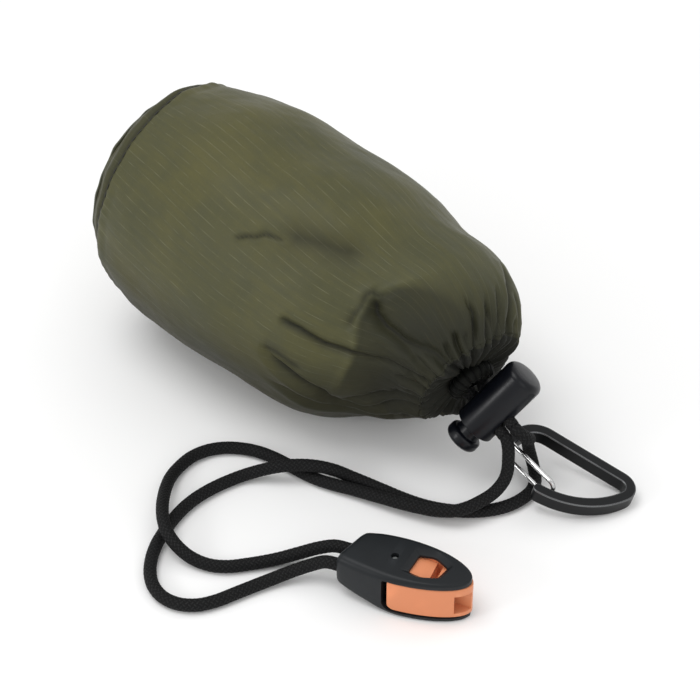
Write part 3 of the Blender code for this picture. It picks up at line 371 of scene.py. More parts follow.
# A round tube with two sets of spiral yarns, |sin(a + 4t)| and |sin(a - 4t)|; whichever lies on top shows,
# and they take turns where sin(a + 4t) sin(a - 4t) changes sign
def cordPiece(name, path):
    run, turn = runAlong(path), around(braid["sides"])
    s, t = np.meshgrid(run, turn, indexing="ij")
    phase = fullTurn * s / mm / braid["pitch"]
    first, second = np.sin(phase + 4 * t), np.sin(phase - 4 * t)
    over = ease(first * second, -0.25, 0.25)
    weave = np.maximum(np.abs(first) * (0.55 + 0.45 * over), np.abs(second) * (1 - 0.45 * over)) - 0.75
    ends = ease(np.minimum(s, run[-1] - s), 0.0, 0.4 * mm)
    radius = (braid["radius"] + braid["height"] * weave) * (0.94 + 0.06 * ends)
    across, up = pathFrames(path)
    grid = path[:, None, :] + radius[..., None] * circled(t, across[:, None, :], up[:, None, :])
    return surface(name, grid, cordBlack, crossed(run / mm, np.linspace(0, 1, braid["sides"] + 1)),
                   poles=np.array([path[0], path[-1]]))


def strandPath(route, side):
    out = lockPlace["slotCentre"] + lockPlace["lockAxis"] * (side * lockPlace["strandSpacing"] / 2)
    out = out + lockPlace["cordAxis"] * lockPlace["strandEnd"]
    end = whistlePlace["back"] + whistlePlace["ahead"] * whistlePlace["strandPlace"]
    end = end - whistlePlace["side"] * (side * whistlePlace["halfBight"])
    end = end + np.array((0.0, 0.0, whistlePlace["bightHeight"]))
    points = [out, out + lockPlace["cordAxis"] * lockPlace["lead"], *(np.array(route) * mm),
              end - whistlePlace["ahead"] * lockPlace["lead"], end]
    return smoothPath(points, braid["step"])


# The bight: two straights and a half circle round the peg, level with the whistle's recess
def bightPath():
    half, pin = whistlePlace["halfBight"], whistlePlace["pin"]
    straight = [(whistlePlace["bightStart"], half), (pin * 0.4, half), (pin * 0.8, half)]
    bend = [(pin + half * math.cos(t), half * math.sin(t)) for t in np.linspace(math.pi / 2, -math.pi / 2, 25)]
    flat = np.array(straight + bend + [(x, -y) for x, y in straight[::-1]])
    line = whistlePlace["back"] + flat[:, :1] * whistlePlace["ahead"] + flat[:, 1:] * whistlePlace["side"]
    return smoothPath(line + np.array((0.0, 0.0, whistlePlace["bightHeight"])), braid["step"], 12)[0]


cordBlack = braidFinish()
for side, name in ((-1, "left"), (1, "right")):
    path, length = strandPath(routes[name], side)
    strand = cordPiece("cord" + name.capitalize(), path)
    fit(strand, "root", "black_cord", "cord_strand_" + name)
    print("stage: cord", name, round(length / mm, 1), "mm")
drawcordPath = smoothPath(np.array(drawcordPoints) * mm, braid["step"])[0]
fit(cordPiece("drawcordTube", drawcordPath), "root", "black_cord", "drawcord")
fit(cordPiece("bightTube", bightPath()), "whistle", "black_cord", "cord_bight")
print("stage: cords made")


# The last colour here is the near-black that painted shade draws the cloth towards
sack = {"baseX": -69.0, "length": 134.0, "radius": 42.7, "axisHeight": 43.0, "sag": 0.045, "rows": 236,
        "dishRows": 56, "columns": 336, "neckRadius": 6.2, "neck": np.array((62.061, -1.416, 36.012)),
        "lip": 1.7, "dishDepth": 14.2, "pleatCount": 23, "pleatDepth": 1.0, "floor": 0.15, "edge": 1.5,
        "yarns": 84, "skew": 0.17, "sunk": -3.9, "smallFolds": 34,
        "colour": (0.068, 0.0665, 0.0245), "thread": (0.165, 0.160, 0.092), "fold": (0.0040, 0.0045, 0.0036)}
# Share of the length, share of the radius, sideways place and rise of the middle line in millimetres
sackStations = np.array([
    (0.000, 0.705, -1.3, 2.4), (0.029, 0.863, 0.5, 1.7), (0.082, 0.922, 0.7, 1.0), (0.194, 0.981, 0.7, 0.7),
    (0.315, 1.012, 0.5, 0.3), (0.437, 0.999, 0.5, -0.8), (0.558, 0.977, 0.7, -1.6), (0.679, 0.925, 0.9, -2.4),
    (0.796, 0.776, 2.0, -2.2), (0.883, 0.680, 3.3, -2.2), (0.944, 0.596, 1.3, -4.2), (1.000, 0.477, -2.1, -7.3)])
# Folds that the photo shows: places as (share along, degrees round), then depth, width and lip in millimetres, and
# where one isn't so, whether the near end fades and whether the far end runs on into the neck
folds = [
    ([(0.455, 138), (0.475, 137), (0.495, 134.5), (0.515, 133), (0.532, 130), (0.560, 129), (0.582, 128),
      (0.590, 123)], 1.0, 0.75, 0.5, True, False),
    ([(0.600, 124), (0.655, 121), (0.70, 119), (0.730, 116.5), (0.778, 112)], 0.7, 4.2, 0.0, False, False),
    ([(0.792, 150), (0.793, 145), (0.801, 140), (0.799, 133), (0.806, 130), (0.820, 130.5),
      (0.829, 129), (0.843, 123), (0.862, 114)], 0.8, 1.0, 0.4, False, False),
    ([(0.822, 135), (0.833, 141), (0.862, 147), (0.904, 149), (0.938, 144), (0.965, 137), (1.0, 132), (1.2, 130),
      (1.72, 128)], 3.6, 1.8, 1.0, False, True),
    ([(0.64, 159), (0.652, 160), (0.696, 161), (0.752, 165), (0.811, 166), (0.863, 169), (0.934, 165), (1.0, 159),
      (1.7, 151)], 1.9, 1.2, 0.3),
    ([(0.765, 206), (0.835, 205), (0.88, 202), (0.934, 196), (1.0, 186), (1.7, 174)], 2.8, 1.1, 0.4),
    ([(0.60, 176), (0.636, 183.5), (0.689, 190), (0.739, 198), (0.766, 210), (0.823, 215), (0.88, 213),
      (0.934, 208), (1.0, 202), (1.7, 190)], 3.0, 1.8, 0.7),
    ([(0.59, 196), (0.66, 201), (0.74, 212), (0.82, 224), (0.90, 225), (1.0, 218), (1.7, 208)], 1.6, 1.8, 0.4),
    ([(0.598, 177), (0.644, 178), (0.689, 182), (0.725, 186)], 0.9, 2.6, 0.0, True, False),
    ([(0.879, 40), (0.905, 40), (0.934, 47), (0.955, 51), (0.986, 57), (1.3, 66), (1.7, 72)], 3.4, 2.2, 0.7),
    ([(0.925, 96), (0.95, 94), (0.975, 98), (1.0, 102), (1.7, 106)], 2.0, 1.1, 0.4),
    ([(0.93, 78), (0.965, 84), (0.99, 88), (1.2, 91), (1.7, 92)], 2.2, 1.1, 0.4),
    ([(0.92, 66), (0.96, 71), (1.0, 76), (1.2, 79), (1.7, 80)], 1.8, 1.0, 0.3),
    ([(0.955, 113), (0.98, 115), (1.1, 116), (1.7, 116)], 1.7, 1.0, 0.4),
    ([(0.90, 152), (0.95, 150), (1.0, 147), (1.7, 142)], 1.6, 1.1, 0.3),
    ([(0.92, 174), (0.97, 171), (1.0, 169), (1.7, 164)], 1.6, 1.1, 0.3),
    ([(0.94, 226), (0.98, 224), (1.2, 226), (1.7, 228)], 1.6, 1.6, 0.2),
    ([(0.93, 252), (0.97, 250), (1.2, 252), (1.7, 252)], 1.6, 1.8, 0.2),
    ([(0.86, 300), (0.90, 304), (0.97, 300), (1.7, 296)], 2.0, 2.0, 0.3),
    ([(0.72, 332), (0.82, 328), (0.92, 334), (1.7, 330)], 2.4, 2.0, 0.5),
    ([(0.80, 5), (0.88, 2), (0.96, 8), (1.7, 6)], 2.4, 1.8, 0.5),
    ([(0.66, 20), (0.74, 22), (0.84, 18), (0.93, 24), (1.7, 30)], 1.8, 1.6, 0.4),
    ([(0.42, 20), (0.47, 24), (0.53, 23), (0.56, 28)], 0.8, 1.4, 0.4, True, False),
    ([(0.20, 330), (0.27, 334), (0.35, 331), (0.41, 336)], 0.7, 1.6, 0.3, True, False),
    ([(0.10, 40), (0.16, 44), (0.24, 42)], 0.6, 1.5, 0.3, True, False)]
# Many small creases besides, drawn in towards the neck, shallower where the sack leans on the floor
draw = np.random.default_rng(41)
for k in range(sack["smallFolds"]):
    place, start = k * 10.6 + draw.uniform(-4, 4), draw.uniform(0.90, 0.975)
    folds.append(([(start, place + draw.uniform(-5, 5)), (0.5 + start / 2, place + draw.uniform(-2, 2)),
                   (1.08, place), (1.7, place + draw.uniform(-2, 2))],
                  draw.uniform(0.8, 1.9) * (0.35 if 205 < place < 275 else 1.0),
                  draw.uniform(0.6, 1.15), draw.uniform(0.1, 0.4)))
# Where the cloth turns in towards the mouth: degrees round, then share along
mouthEdge = np.array([(0, 0.95), (40, 0.93), (60, 0.905), (75, 0.895), (90, 0.885), (105, 0.868), (117, 0.850),
                      (123, 0.836), (132, 0.813), (138, 0.803), (148, 0.804), (160, 0.813), (172, 0.810),
                      (192, 0.777), (204, 0.756), (215, 0.80), (235, 0.90), (260, 0.95), (360, 0.95)])


# Cubic curve through the stations with slopes from their neighbours
def throughStations(share, column):
    x, y = sackStations[:, 0], sackStations[:, column]
    slope = np.gradient(y, x)
    k = np.clip(np.searchsorted(x, share, side="right") - 1, 0, len(x) - 2)
    width = x[k + 1] - x[k]
    t = np.clip((share - x[k]) / width, 0.0, 1.0)
    return ((2 * t**3 - 3 * t**2 + 1) * y[k] + (t**3 - 2 * t**2 + t) * width * slope[k]
            + (3 * t**2 - 2 * t**3) * y[k + 1] + (t**3 - t**2) * width * slope[k + 1])


# Waves of random direction and phase over (along, round), whole numbers of them round the sack
def waves(along, turn, length, count, seed, power=1.0):
    draw = np.random.default_rng(seed)
    total = np.zeros(np.broadcast(along, turn).shape)
    girth = fullTurn * sack["radius"]
    for k in range(count):
        size = length * draw.uniform(0.7, 1.5)
        heading = draw.uniform(0, math.pi)
        whole = round(girth / size * math.cos(heading))
        total += np.cos(fullTurn * along * math.sin(heading) / size + whole * turn + draw.uniform(0, 6.28))
    return np.sign(total) * np.abs(total / math.sqrt(count)) ** power


# One fold: the nearest of many points along it gives the distance, and its side gives the lip; it returns the
# height and, for painted shade, how deep in its valley each point lies
def foldHeight(along, turn, reach, places, depth, width, lip, fadeStart=True, runOn=True):
    places = np.array(places, float)
    whole = np.linspace(0, 1, len(places))
    fine = np.linspace(0, 1, 22 * (len(places) - 1))
    kernel = np.array((1, 2, 3, 2, 1)) / 9
    line = [np.convolve(np.pad(np.interp(fine, whole, places[:, k]), 2, mode="edge"), kernel, mode="valid")
            for k in (0, 1)]
    lineAlong, lineTurn = sackAlong(line[0]), np.radians(line[1])
    best = np.full(along.shape, 1e9)
    signed, where = np.zeros(along.shape), np.zeros(along.shape)
    heading = unit(np.stack([np.gradient(lineAlong), np.gradient(lineTurn) * 30.0], axis=1))
    for k in range(len(fine)):
        offAlong = along - lineAlong[k]
        offTurn = ((turn - lineTurn[k] + math.pi) % fullTurn - math.pi) * reach
        square = offAlong**2 + offTurn**2
        nearer = square < best
        best = np.where(nearer, square, best)
        signed = np.where(nearer, heading[k, 0] * offTurn - heading[k, 1] * offAlong, signed)
        where = np.where(nearer, fine[k], where)
    distance = np.sqrt(best)
    fade = ease(where, 0.0, 0.18) if fadeStart else 1.0
    fade = fade * (1.0 if runOn else 1 - ease(where, 0.65, 1.0))
    narrow = width * np.clip(reach / 22.0, 0.35, 1.0)
    valley = np.exp(-(distance / narrow) ** 1.25)
    ridge = bell(distance, 1.9 * narrow, 1.1 * narrow) * ease(signed, -0.2, 1.0)
    return (-depth * valley + lip * ridge) * fade * np.clip(reach / 20.0, 0.30, 1.0), valley * fade


def sackAlong(share):
    return sack["length"] * np.minimum(share, 1.0) + 1.15 * sack["dishDepth"] * np.maximum(share - 1.0, 0.0)


# Rows of rings: middle, two directions across, radius. After share 1 they turn in over a lip to the neck
def sackRings():
    share = np.concatenate([np.linspace(0, 1, sack["rows"] // 3) ** 1.3 * 0.30,
                            np.linspace(0.30, 1.0, sack["rows"] * 2 // 3)[1:]])
    dish = np.linspace(0, 1, sack["dishRows"] + 1)[1:]
    radius = throughStations(share, 1) * sack["radius"] + sack["edge"] * (1 - ease(share, 0.0, 0.022))
    middle = np.stack([sack["baseX"] + share * sack["length"], throughStations(share, 2),
                       sack["axisHeight"] + throughStations(share, 3)], axis=1)
    lean = ease(share, 0.80, 1.0)[:, None]
    cordAxis = lockPlace["cordAxis"]
    heading = unit(np.array((1.0, 0.0, 0.0)) * (1 - lean) + cordAxis * lean)
    offset = middle[-1] - sack["neck"]
    ahead = offset @ cordAxis
    push = ahead * (1 - dish**3) + sack["lip"] * np.sin(math.pi / 2 * np.clip(dish / 0.42, 0, 1)) * (
        1 - ease(dish, 0.84, 1.0)) + 1.2 * ease(dish, 0.78, 1.0)
    dishMiddle = sack["neck"] + push[:, None] * cordAxis + (1 - dish)[:, None] * (offset - ahead * cordAxis)
    inner = sack["neckRadius"] * (1 - 0.93 * ease(dish, 0.62, 1.0))
    dishRadius = inner + (radius[-1] - sack["neckRadius"]) * (1 - dish) * (1 + 0.18 * np.sin(math.pi * dish))
    heading = np.vstack([heading, np.repeat(cordAxis[None, :], len(dish), axis=0)])
    up = unit(np.array((0.0, 0.0, 1.0)) - heading * heading[:, 2:])
    return (np.concatenate([share, 1.0 + dish * 0.85]), np.vstack([middle, dishMiddle]), np.cross(up, heading), up,
            np.concatenate([radius, dishRadius]))


# Pleats: rounded crests and narrow valleys, uneven round the neck, deeper towards it and shallow underneath
def pleatHeight(s, t, along, reach, under):
    uneven = t + 0.10 * np.sin(2 * t + 0.6) + 0.07 * np.sin(5 * t + 2.0) + 0.05 * np.sin(3 * t + along * 0.05)
    first = 1 - np.abs(np.sin(sack["pleatCount"] * uneven / 2 + 0.4 * np.sin(along * 0.06)))
    second = 1 - np.abs(np.sin((sack["pleatCount"] + 12) * uneven / 2 + 1.3))
    third = 1 - np.abs(np.sin(23.5 * uneven + 0.5))
    strength = ease(s, 0.86, 1.02) * np.clip(reach / 17.0, 0.22, 1.0) * (1 - 0.7 * under)
    amount = 0.55 + 0.45 * np.sin(3 * t + 1.0) * np.sin(2 * t)
    pleats = -sack["pleatDepth"] * strength * (first**1.6 * amount + 0.6 * second**1.8 * (1.1 - amount))
    return pleats - 0.45 * ease(s, 0.94, 1.1) * np.clip(reach / 14.0, 0.25, 1.0) * third**1.5


# The sack's rings pushed in and out along their normals by waves, pleats, folds and the base seam; shade is
# painted shade, how dark the cloth's colour is painted: deep in a fold, by the base seam, on the turned-in face of
# the mouth and underneath
def sackCloth(material):
    share, middle, side, up, radius = sackRings()
    s, t = np.meshgrid(share, around(sack["columns"]), indexing="ij")
    degrees = np.degrees(t)
    along, reach = sackAlong(s), np.repeat(radius[:, None], sack["columns"], axis=1)
    gather = ease(s, 0.72, 1.0)
    girthReach = reach * (1 + sack["sag"] * np.maximum(0.0, -np.sin(t)) ** 4 * (1 - gather))
    base = middle[:, None, :] + girthReach[..., None] * circled(t, side[:, None, :], up[:, None, :])
    normal = unit(np.cross(np.roll(base, -1, 1) - np.roll(base, 1, 1), np.gradient(base, axis=0)))
    outward = np.einsum("ijk,ijk->ij", normal, base - middle[:, None, :])[: sack["rows"] // 2].mean()
    normal = normal * (1 if outward > 0 else -1)
    height = 0.55 * waves(along, t, 46.0, 12, 3) + 0.16 * waves(along, t, 15.0, 14, 5)
    height = height * ease(s, 0.0, 0.06) * (1 - 0.5 * gather)
    height = height + (0.035 + 0.05 * gather) * waves(along, t, 6.5, 18, 8) * (1 - ease(s, 1.0, 1.3))
    under = bell(degrees, 240, 32) * (1 - ease(s, 1.0, 1.2))
    pleats = pleatHeight(s, t, along, reach, under)
    # The far side narrows before the mouth, and the rim reaches lower behind the lock
    taper = bell((degrees + 25) % 360, 10, 38) * ease(s, 0.88, 0.98) * (1 - ease(s, 1.15, 1.6))
    lower = bell(degrees, 283, 17) * ease(s, 0.9, 1.0) * (1 - ease(s, 1.15, 1.5))
    height = height + pleats - 3.2 * taper + 2.2 * lower + 2.6 * under * ease(s, 0.78, 0.88) * (
        1 - 1.15 * ease(s, 0.92, 1.03))
    # Painted shade in the pleats' valleys
    shade = np.clip(-pleats / 1.1, 0, 1) * 0.9
    # The cloth turns in along an edge towards the mouth: a low ridge, then a face that leans inwards
    past = along - sackAlong(np.interp(degrees, mouthEdge[:, 0], mouthEdge[:, 1]))
    shown = ease(degrees, 96, 124) * (1 - ease(degrees, 198, 212))
    height = height + shown * (0.45 * bell(past, 0, 1.2) - 1.5 * ease(past, 0.0, 11.0))
    # The turned-in face is painted dark: painted shade that deepens further in and lower round, crisp-edged where
    # the face shows and soft elsewhere
    blur = 1.2 + 7.0 * (1 - shown)
    deeper = 0.67 + 0.16 * ease(past, 3.0, 16.0) + 0.10 * ease(degrees, 158, 185)
    shade = np.maximum(shade, deeper * ease(past, -0.4 * blur, 1.6 * blur))
    # Painted shade underneath, darker towards the mouth
    shade = np.maximum(shade, (0.70 + 0.16 * ease(s, 0.55, 0.85)) * ease(-np.sin(t), -0.24, 0.45))
    # Each fold sinks the cloth and paints shade into its valley, darker for deeper folds
    for fold in folds:
        drop, paintedFoldShade = foldHeight(along, t, np.maximum(reach, 3.0), *fold)
        height = height + drop
        shade = np.maximum(shade, paintedFoldShade * min(1.0, 0.40 + 0.32 * fold[1]))
    height = np.maximum(height, sack["sunk"] - 1.6 * taper)
    # Painted shade on the cloth that turns in to the neck
    shade = np.maximum(shade, ease(s, 0.99, 1.16))
    # The base seam's stitch line draws the cloth in, with small puckers beside it
    off = along - seamLine(t)
    # Painted shade along the stitch line and on the band between it and the base's edge
    shade = np.maximum(shade, 0.42 * ease(-off, -0.3, 0.6) + 0.5 * bell(off, 0, 0.55))
    pucker = np.sin(58 * t + 1.5 * np.sin(9 * t)) * (0.6 + 0.4 * np.sin(7 * t + 1))
    height = (height - 0.6 * bell(off, 0, 0.8) + 0.17 * pucker * bell(off, 2.2, 2.6) + 0.30 * bell(off, -2.2, 1.8)
              + 0.25 * np.sin(11 * t) * bell(along, 0, 3.0))
    grid = base + normal * height[..., None]
    # Near the floor the cloth flattens out
    low = grid[..., 2]
    soft = sack["floor"] + 0.25 * np.log1p(np.exp(np.clip((low - sack["floor"]) / 0.25, -30, 30)))
    grid[..., 2] = np.where(low > 3.0, low, soft)
    uv = crossed(sackAlong(share), np.linspace(0, fullTurn * sack["radius"], sack["columns"] + 1))
    poles = np.array([middle[0], middle[-1] + 0.3 * lockPlace["cordAxis"]]) * mm
    return surface("sackCloth", grid * mm, material, uv, {"fold": shade}, poles), grid, along


# Distance of the stitch line from the base, larger on the upper front side
def seamLine(turn):
    return sack["length"] * (0.026 + 0.034 * ((1 + np.cos(turn - math.radians(118))) / 2) ** 5)


# A cloth finish whose last colour is the near-black of painted shade, drawn in by the shade attribute
def clothFinish(name, colour, thread, fold, specular=0.28):
    finish = Finish(name, colour, 0.5, sheen=0.04, sheenRoughness=0.3, specular=specular)
    u, v = finish.flatPlace()
    place = finish.place()
    broad = finish.noise(place, 22.0, 3.0)
    patchy = finish.noise(place, 160.0, 3.0, 0.6)
    # Ripstop: a heavier yarn every few millimetres lengthwise, weaker ones across, both broken up
    wander = finish.noise(place, 60.0, 1.0) * 1.2
    spacing = sack["yarns"] / (fullTurn * sack["radius"])
    skewed, straight = v - u * sack["skew"], u + v * sack["skew"]
    lengthwise = 1 - ((skewed * spacing + wander * 0.10).fraction() - 0.5).size().step(0.0, 0.075)
    across = 1 - ((straight * spacing).fraction() - 0.5).size().step(0.0, 0.07)
    stretched = finish.vector(straight * 0.16, skewed * 1.1)
    broken = finish.noise(stretched, 1.0, 3.0, 0.6).step(0.40, 0.66)
    yarns = lengthwise * broken + across * finish.noise(stretched, 2.3).step(0.52, 0.74) * 0.4
    # Soft streaks along the yarns, a few millimetres apart
    streaks = finish.noise(finish.vector(u * 0.05, skewed * 0.42), 1.0, 4.0, 0.6)
    paintedShade = finish.attribute("fold")
    tone = finish.mix((broad * 0.8 + patchy * 0.25 + streaks * 0.35).step(0.46, 0.92),
                      scaled(colour, 0.80, 0.84, 1.02), scaled(colour, 1.22, 1.17, 1.0))
    tone = finish.mix(yarns * 0.46, tone, thread)
    # Painted shade: the colour drawn towards the near-black wherever the shade attribute is high
    finish.give("Base Color", finish.mix(paintedShade * 0.92, tone, fold))
    finish.give("Roughness", 0.44 + patchy * 0.14 + paintedShade * 0.22)
    weave = (u * (fullTurn / 0.62)).sine() * (v * (fullTurn / 0.62)).sine()
    finish.bump(weave * 0.10 + yarns * 0.28 + patchy * 0.8 + streaks * 1.5, 0.00016, 0.6)
    return finish.material


nylon = clothFinish("oliveRipstop", sack["colour"], sack["thread"], sack["fold"])
cloth, clothGrid, clothAlong = sackCloth(nylon)
fit(cloth, "root", "olive_nylon", "sack_body")
print("stage: sack cloth made")

# The last colour here is the welt's painted shade colour, unused since its shade attribute is zero
base = {"radius": 31.0, "bulge": 4.2, "x": -70.2, "seamRadius": 30.6, "seamTube": 0.5, "seamWidth": 1.5,
        "puckers": 37, "seamGirth": fullTurn * 38.0, "stitchLength": 2.6, "stitchGap": 0.3, "stitchRadius": 0.2,
        "middle": (sackStations[0, 2], sack["axisHeight"] + sackStations[0, 3]),
        "band": (0.072, 0.076, 0.052), "bandThread": (0.14, 0.14, 0.11), "bandPaintedShade": (0.03, 0.03, 0.02)}


# Points at x, and at a distance out from the base's middle
def roundBase(x, out, t):
    return np.stack([x, base["middle"][0] + out * np.cos(t), base["middle"][1] + out * np.sin(t)], axis=-1)


# A dished disc that bulges out of its seam: x = x0 - bulge (1 - r^2.6)^0.75, with puckers near the rim and dents
def basePanel(material):
    share = np.concatenate([np.linspace(0.02, 0.8, 40), np.linspace(0.8, 1.0, 26)[1:]])
    r, t = np.meshgrid(share, around(160), indexing="ij")
    pucker = np.sin(base["puckers"] * t + 1.2 * np.sin(5 * t)) * ease(r, 0.72, 0.95) * (1 - ease(r, 0.96, 1.0))
    calm = (1 - r) * ease(r, 0.05, 0.55)
    dent = (waves(r * 40, t, 26.0, 9, 21) * 0.5 + waves(r * 40, t, 10.0, 12, 23) * 0.12) * calm
    bulge = base["bulge"] * (1 - r**2.6) ** 0.75 + 0.16 * pucker + dent - 0.35 * bell(r, 0.90, 0.018)
    grid = roundBase(base["x"] + 0.3 - bulge, base["radius"] * r, t)
    backX = base["x"] + 0.45
    back = grid[::-1][:40:8].copy()
    back[..., 0] = backX
    radius = np.concatenate([share, share[::-1][:40:8]]) * base["radius"]
    turn = np.linspace(0, fullTurn, 161)
    uv = radius[:, None, None] * np.stack([np.cos(turn), np.sin(turn)], axis=-1)
    poles = np.array([(grid[0, :, 0].mean(), *base["middle"]), (backX, *base["middle"])]) * mm
    # Painted shade in the puckers' hollows
    shade = np.concatenate([np.clip(-pucker * 0.5, 0, 1), np.zeros((len(back), 160))])
    return surface("basePanel", np.concatenate([grid, back]) * mm, material, uv, {"fold": shade}, poles)


# The folded seam edge: a flat band round the base, wavy, standing a little proud
def seamWelt(material):
    p, t = np.meshgrid(around(18), around(300), indexing="ij")
    wave = 0.16 * np.sin(9 * t + 0.5) + 0.12 * np.sin(14 * t + 2.0) + 0.05 * np.sin(37 * t)
    outer = (1 + np.cos(p)) / 2
    out = base["seamRadius"] + base["seamWidth"] * np.sign(np.cos(p)) * np.abs(np.cos(p)) ** 0.7 + wave * outer
    thick = base["seamTube"] * np.sign(np.sin(p)) * np.abs(np.sin(p)) ** 0.8 + 0.14 * np.sin(23 * t) * outer
    grid = roundBase(base["x"] + 0.9 - thick, out, t)
    uv = crossed(np.linspace(0, 8, 19), np.linspace(0, fullTurn * base["seamRadius"], 301))
    grid = np.concatenate([grid, grid[:1]])
    return weld(surface("seamWelt", grid * mm, material, uv, {"fold": np.zeros((19, 300))}))


# Closes a surface whose last row lies on its first
def weld(piece):
    mesh = bmesh.new()
    mesh.from_mesh(piece.data)
    bmesh.ops.remove_doubles(mesh, verts=mesh.verts, dist=1e-6)
    bmesh.ops.recalc_face_normals(mesh, faces=mesh.faces)
    mesh.to_mesh(piece.data)
    mesh.free()
    return piece


# Stitches: short capsules of seven rings of six points, arched along lift and sunk at both their ends
def stitches(name, start, stop, lift, radius, material):
    arch = np.sin(math.pi * np.linspace(0, 1, 7)) ** 0.6
    middle = start[:, None, :] + (stop - start)[:, None, :] * np.linspace(0, 1, 7)[None, :, None]
    middle = middle + lift[:, None, :] * (arch * 1.1 - 0.5)[None, :, None] * radius
    across = unit(np.cross(unit(stop - start), lift))
    size = radius * (0.45 + 0.55 * arch)
    ring = circled(around(6)[None, None, :], across[:, None, None, :], unit(lift)[:, None, None, :])
    points = (middle[:, :, None, :] + size[None, :, None, None] * ring).reshape(-1, 3)
    r, c = np.meshgrid(np.arange(6), np.arange(6), indexing="ij")
    after = (c + 1) % 6
    quads = np.stack([r * 6 + c, r * 6 + after, r * 6 + 6 + after, r * 6 + 6 + c], axis=-1).reshape(-1, 4)
    quads = np.vstack([quads, [(0, 5, 4, 3), (0, 3, 2, 1), (36, 37, 38, 39), (36, 39, 40, 41)]])
    faces = (quads[None, :, :] + (np.arange(len(start)) * 42)[:, None, None]).reshape(-1, 4)
    piece = meshObject(name, points, [faces], material)
    turnOutward(piece)
    return piece


# Points and outward directions of the cloth at a distance along it for each turn
def onCloth(turn):
    column = turn / fullTurn * sack["columns"]
    k = np.floor(column).astype(int) % sack["columns"]
    share = (column - np.floor(column))[:, None]
    following = (k + 1) % sack["columns"]
    where = np.array([np.interp(a, clothAlong[:, 0], np.arange(len(clothAlong))) for a in seamLine(turn)])
    r = np.clip(where.astype(int), 0, len(clothAlong) - 2)
    part = (where - r)[:, None]
    near = clothGrid[r, k] * (1 - share) + clothGrid[r, following] * share
    far = clothGrid[r + 1, k] * (1 - share) + clothGrid[r + 1, following] * share
    down = clothGrid[r + 2, k] - clothGrid[np.maximum(r - 2, 0), k]
    return (near * (1 - part) + far * part) * mm, unit(np.cross(clothGrid[r, following] - clothGrid[r, k], down))


threadFinish = Finish("blackThread", (0.006, 0.006, 0.006), 0.6, sheen=0.1)
twist = threadFinish.noise(threadFinish.place(), 3000.0)
threadFinish.give("Base Color", threadFinish.mix(twist, (0.004, 0.004, 0.004), (0.016, 0.016, 0.015)))
seamTurns = around(int(base["seamGirth"] / (base["stitchLength"] + base["stitchGap"])))
seamHalf = base["stitchLength"] / base["seamGirth"] * math.pi
firstEnds, firstOut = onCloth(seamTurns - seamHalf)
seamStitches = stitches("seamStitches", firstEnds, onCloth(seamTurns + seamHalf)[0], firstOut,
                        base["stitchRadius"] * mm, threadFinish.material)
fit(seamStitches, "root", "seam_welt")
fit(basePanel(nylon), "root", "olive_nylon", "sack_base")
weltFinish = clothFinish("foldedSeamNylon", base["band"], base["bandThread"], base["bandPaintedShade"])
fit(seamWelt(weltFinish), "root", "seam_welt", "base_seam")
print("stage: base and seam made")


# The hem's own directions are across the eyelet, beside it, and ahead along the cord
# The hem's colours are the olive nylon's painted nearly black: painted shade, deep in the gathered mouth
hem = {"ring": 5.2, "tube": 2.86, "wall": 0.36, "pleats": 19, "valley": 0.50, "slit": 8.0, "open": 186.0,
       "across": np.array((-0.22918, 0.51005, -0.82905)), "beside": np.array((0.33779, 0.84046, 0.42369)),
       "centre": np.array((65.439, -2.093, 34.662)), "colour": (0.0055, 0.006, 0.005),
       "thread": (0.009, 0.009, 0.007), "fold": (0.002, 0.002, 0.002), "specular": 0.08}


# Hem tube bent to a ring: a wall with two faces, slit along the front and wide open where the cord leaves
def gatheredHem(material):
    turn = around(228)
    away = np.degrees(np.abs((turn + math.pi) % fullTurn - math.pi))
    opening = np.radians(hem["slit"] + (hem["open"] - hem["slit"]) * (1 - ease(away, 58.0, 84.0)))
    share = np.linspace(0, 1, 48)
    t = np.concatenate([share, share[::-1]])[:, None]
    inner = np.repeat([0.0, 1.0], 48)[:, None]
    roll = math.pi / 2 + opening / 2 + t * (fullTurn - opening)
    pleat = 1 - np.abs(np.sin(hem["pleats"] * turn / 2 + 0.25 * np.sin(3 * turn)))
    small = 1 - np.abs(np.sin((hem["pleats"] + 11) * turn / 2 + 1.0))
    outer = hem["tube"] - hem["valley"] * (pleat**1.5 + 0.45 * small**2) - 0.05 * np.sin(5 * roll + 3 * turn)
    tube = outer - inner * hem["wall"]
    out = hem["ring"] + tube * np.cos(roll)
    grid = hem["centre"] + out[..., None] * circled(turn, hem["across"], hem["beside"]) + (
        tube * np.sin(roll))[..., None] * lockPlace["cordAxis"]
    uv = crossed(np.linspace(0, 36, 97), np.linspace(0, 66, 229))
    # Painted shade in the hem's pleat valleys
    shade = np.repeat(pleat[None, :] ** 1.5, 97, axis=0)
    return weld(surface("gatheredHem", np.concatenate([grid, grid[:1]]) * mm, material, uv, {"fold": shade}))


hemCloth = clothFinish("shadedHemNylon", hem["colour"], hem["thread"], hem["fold"], hem["specular"])
fit(gatheredHem(hemCloth), "root", "olive_nylon", "mouth_hem")

roll = {"start": 0.05, "end": 0.875, "inset": 5.2, "floor": 1.3, "turns": 7, "crumple": 0.45, "layer": 0.5,
        "colour": (0.62, 0.63, 0.62), "dull": (0.50, 0.51, 0.51), "bright": (0.74, 0.75, 0.74)}


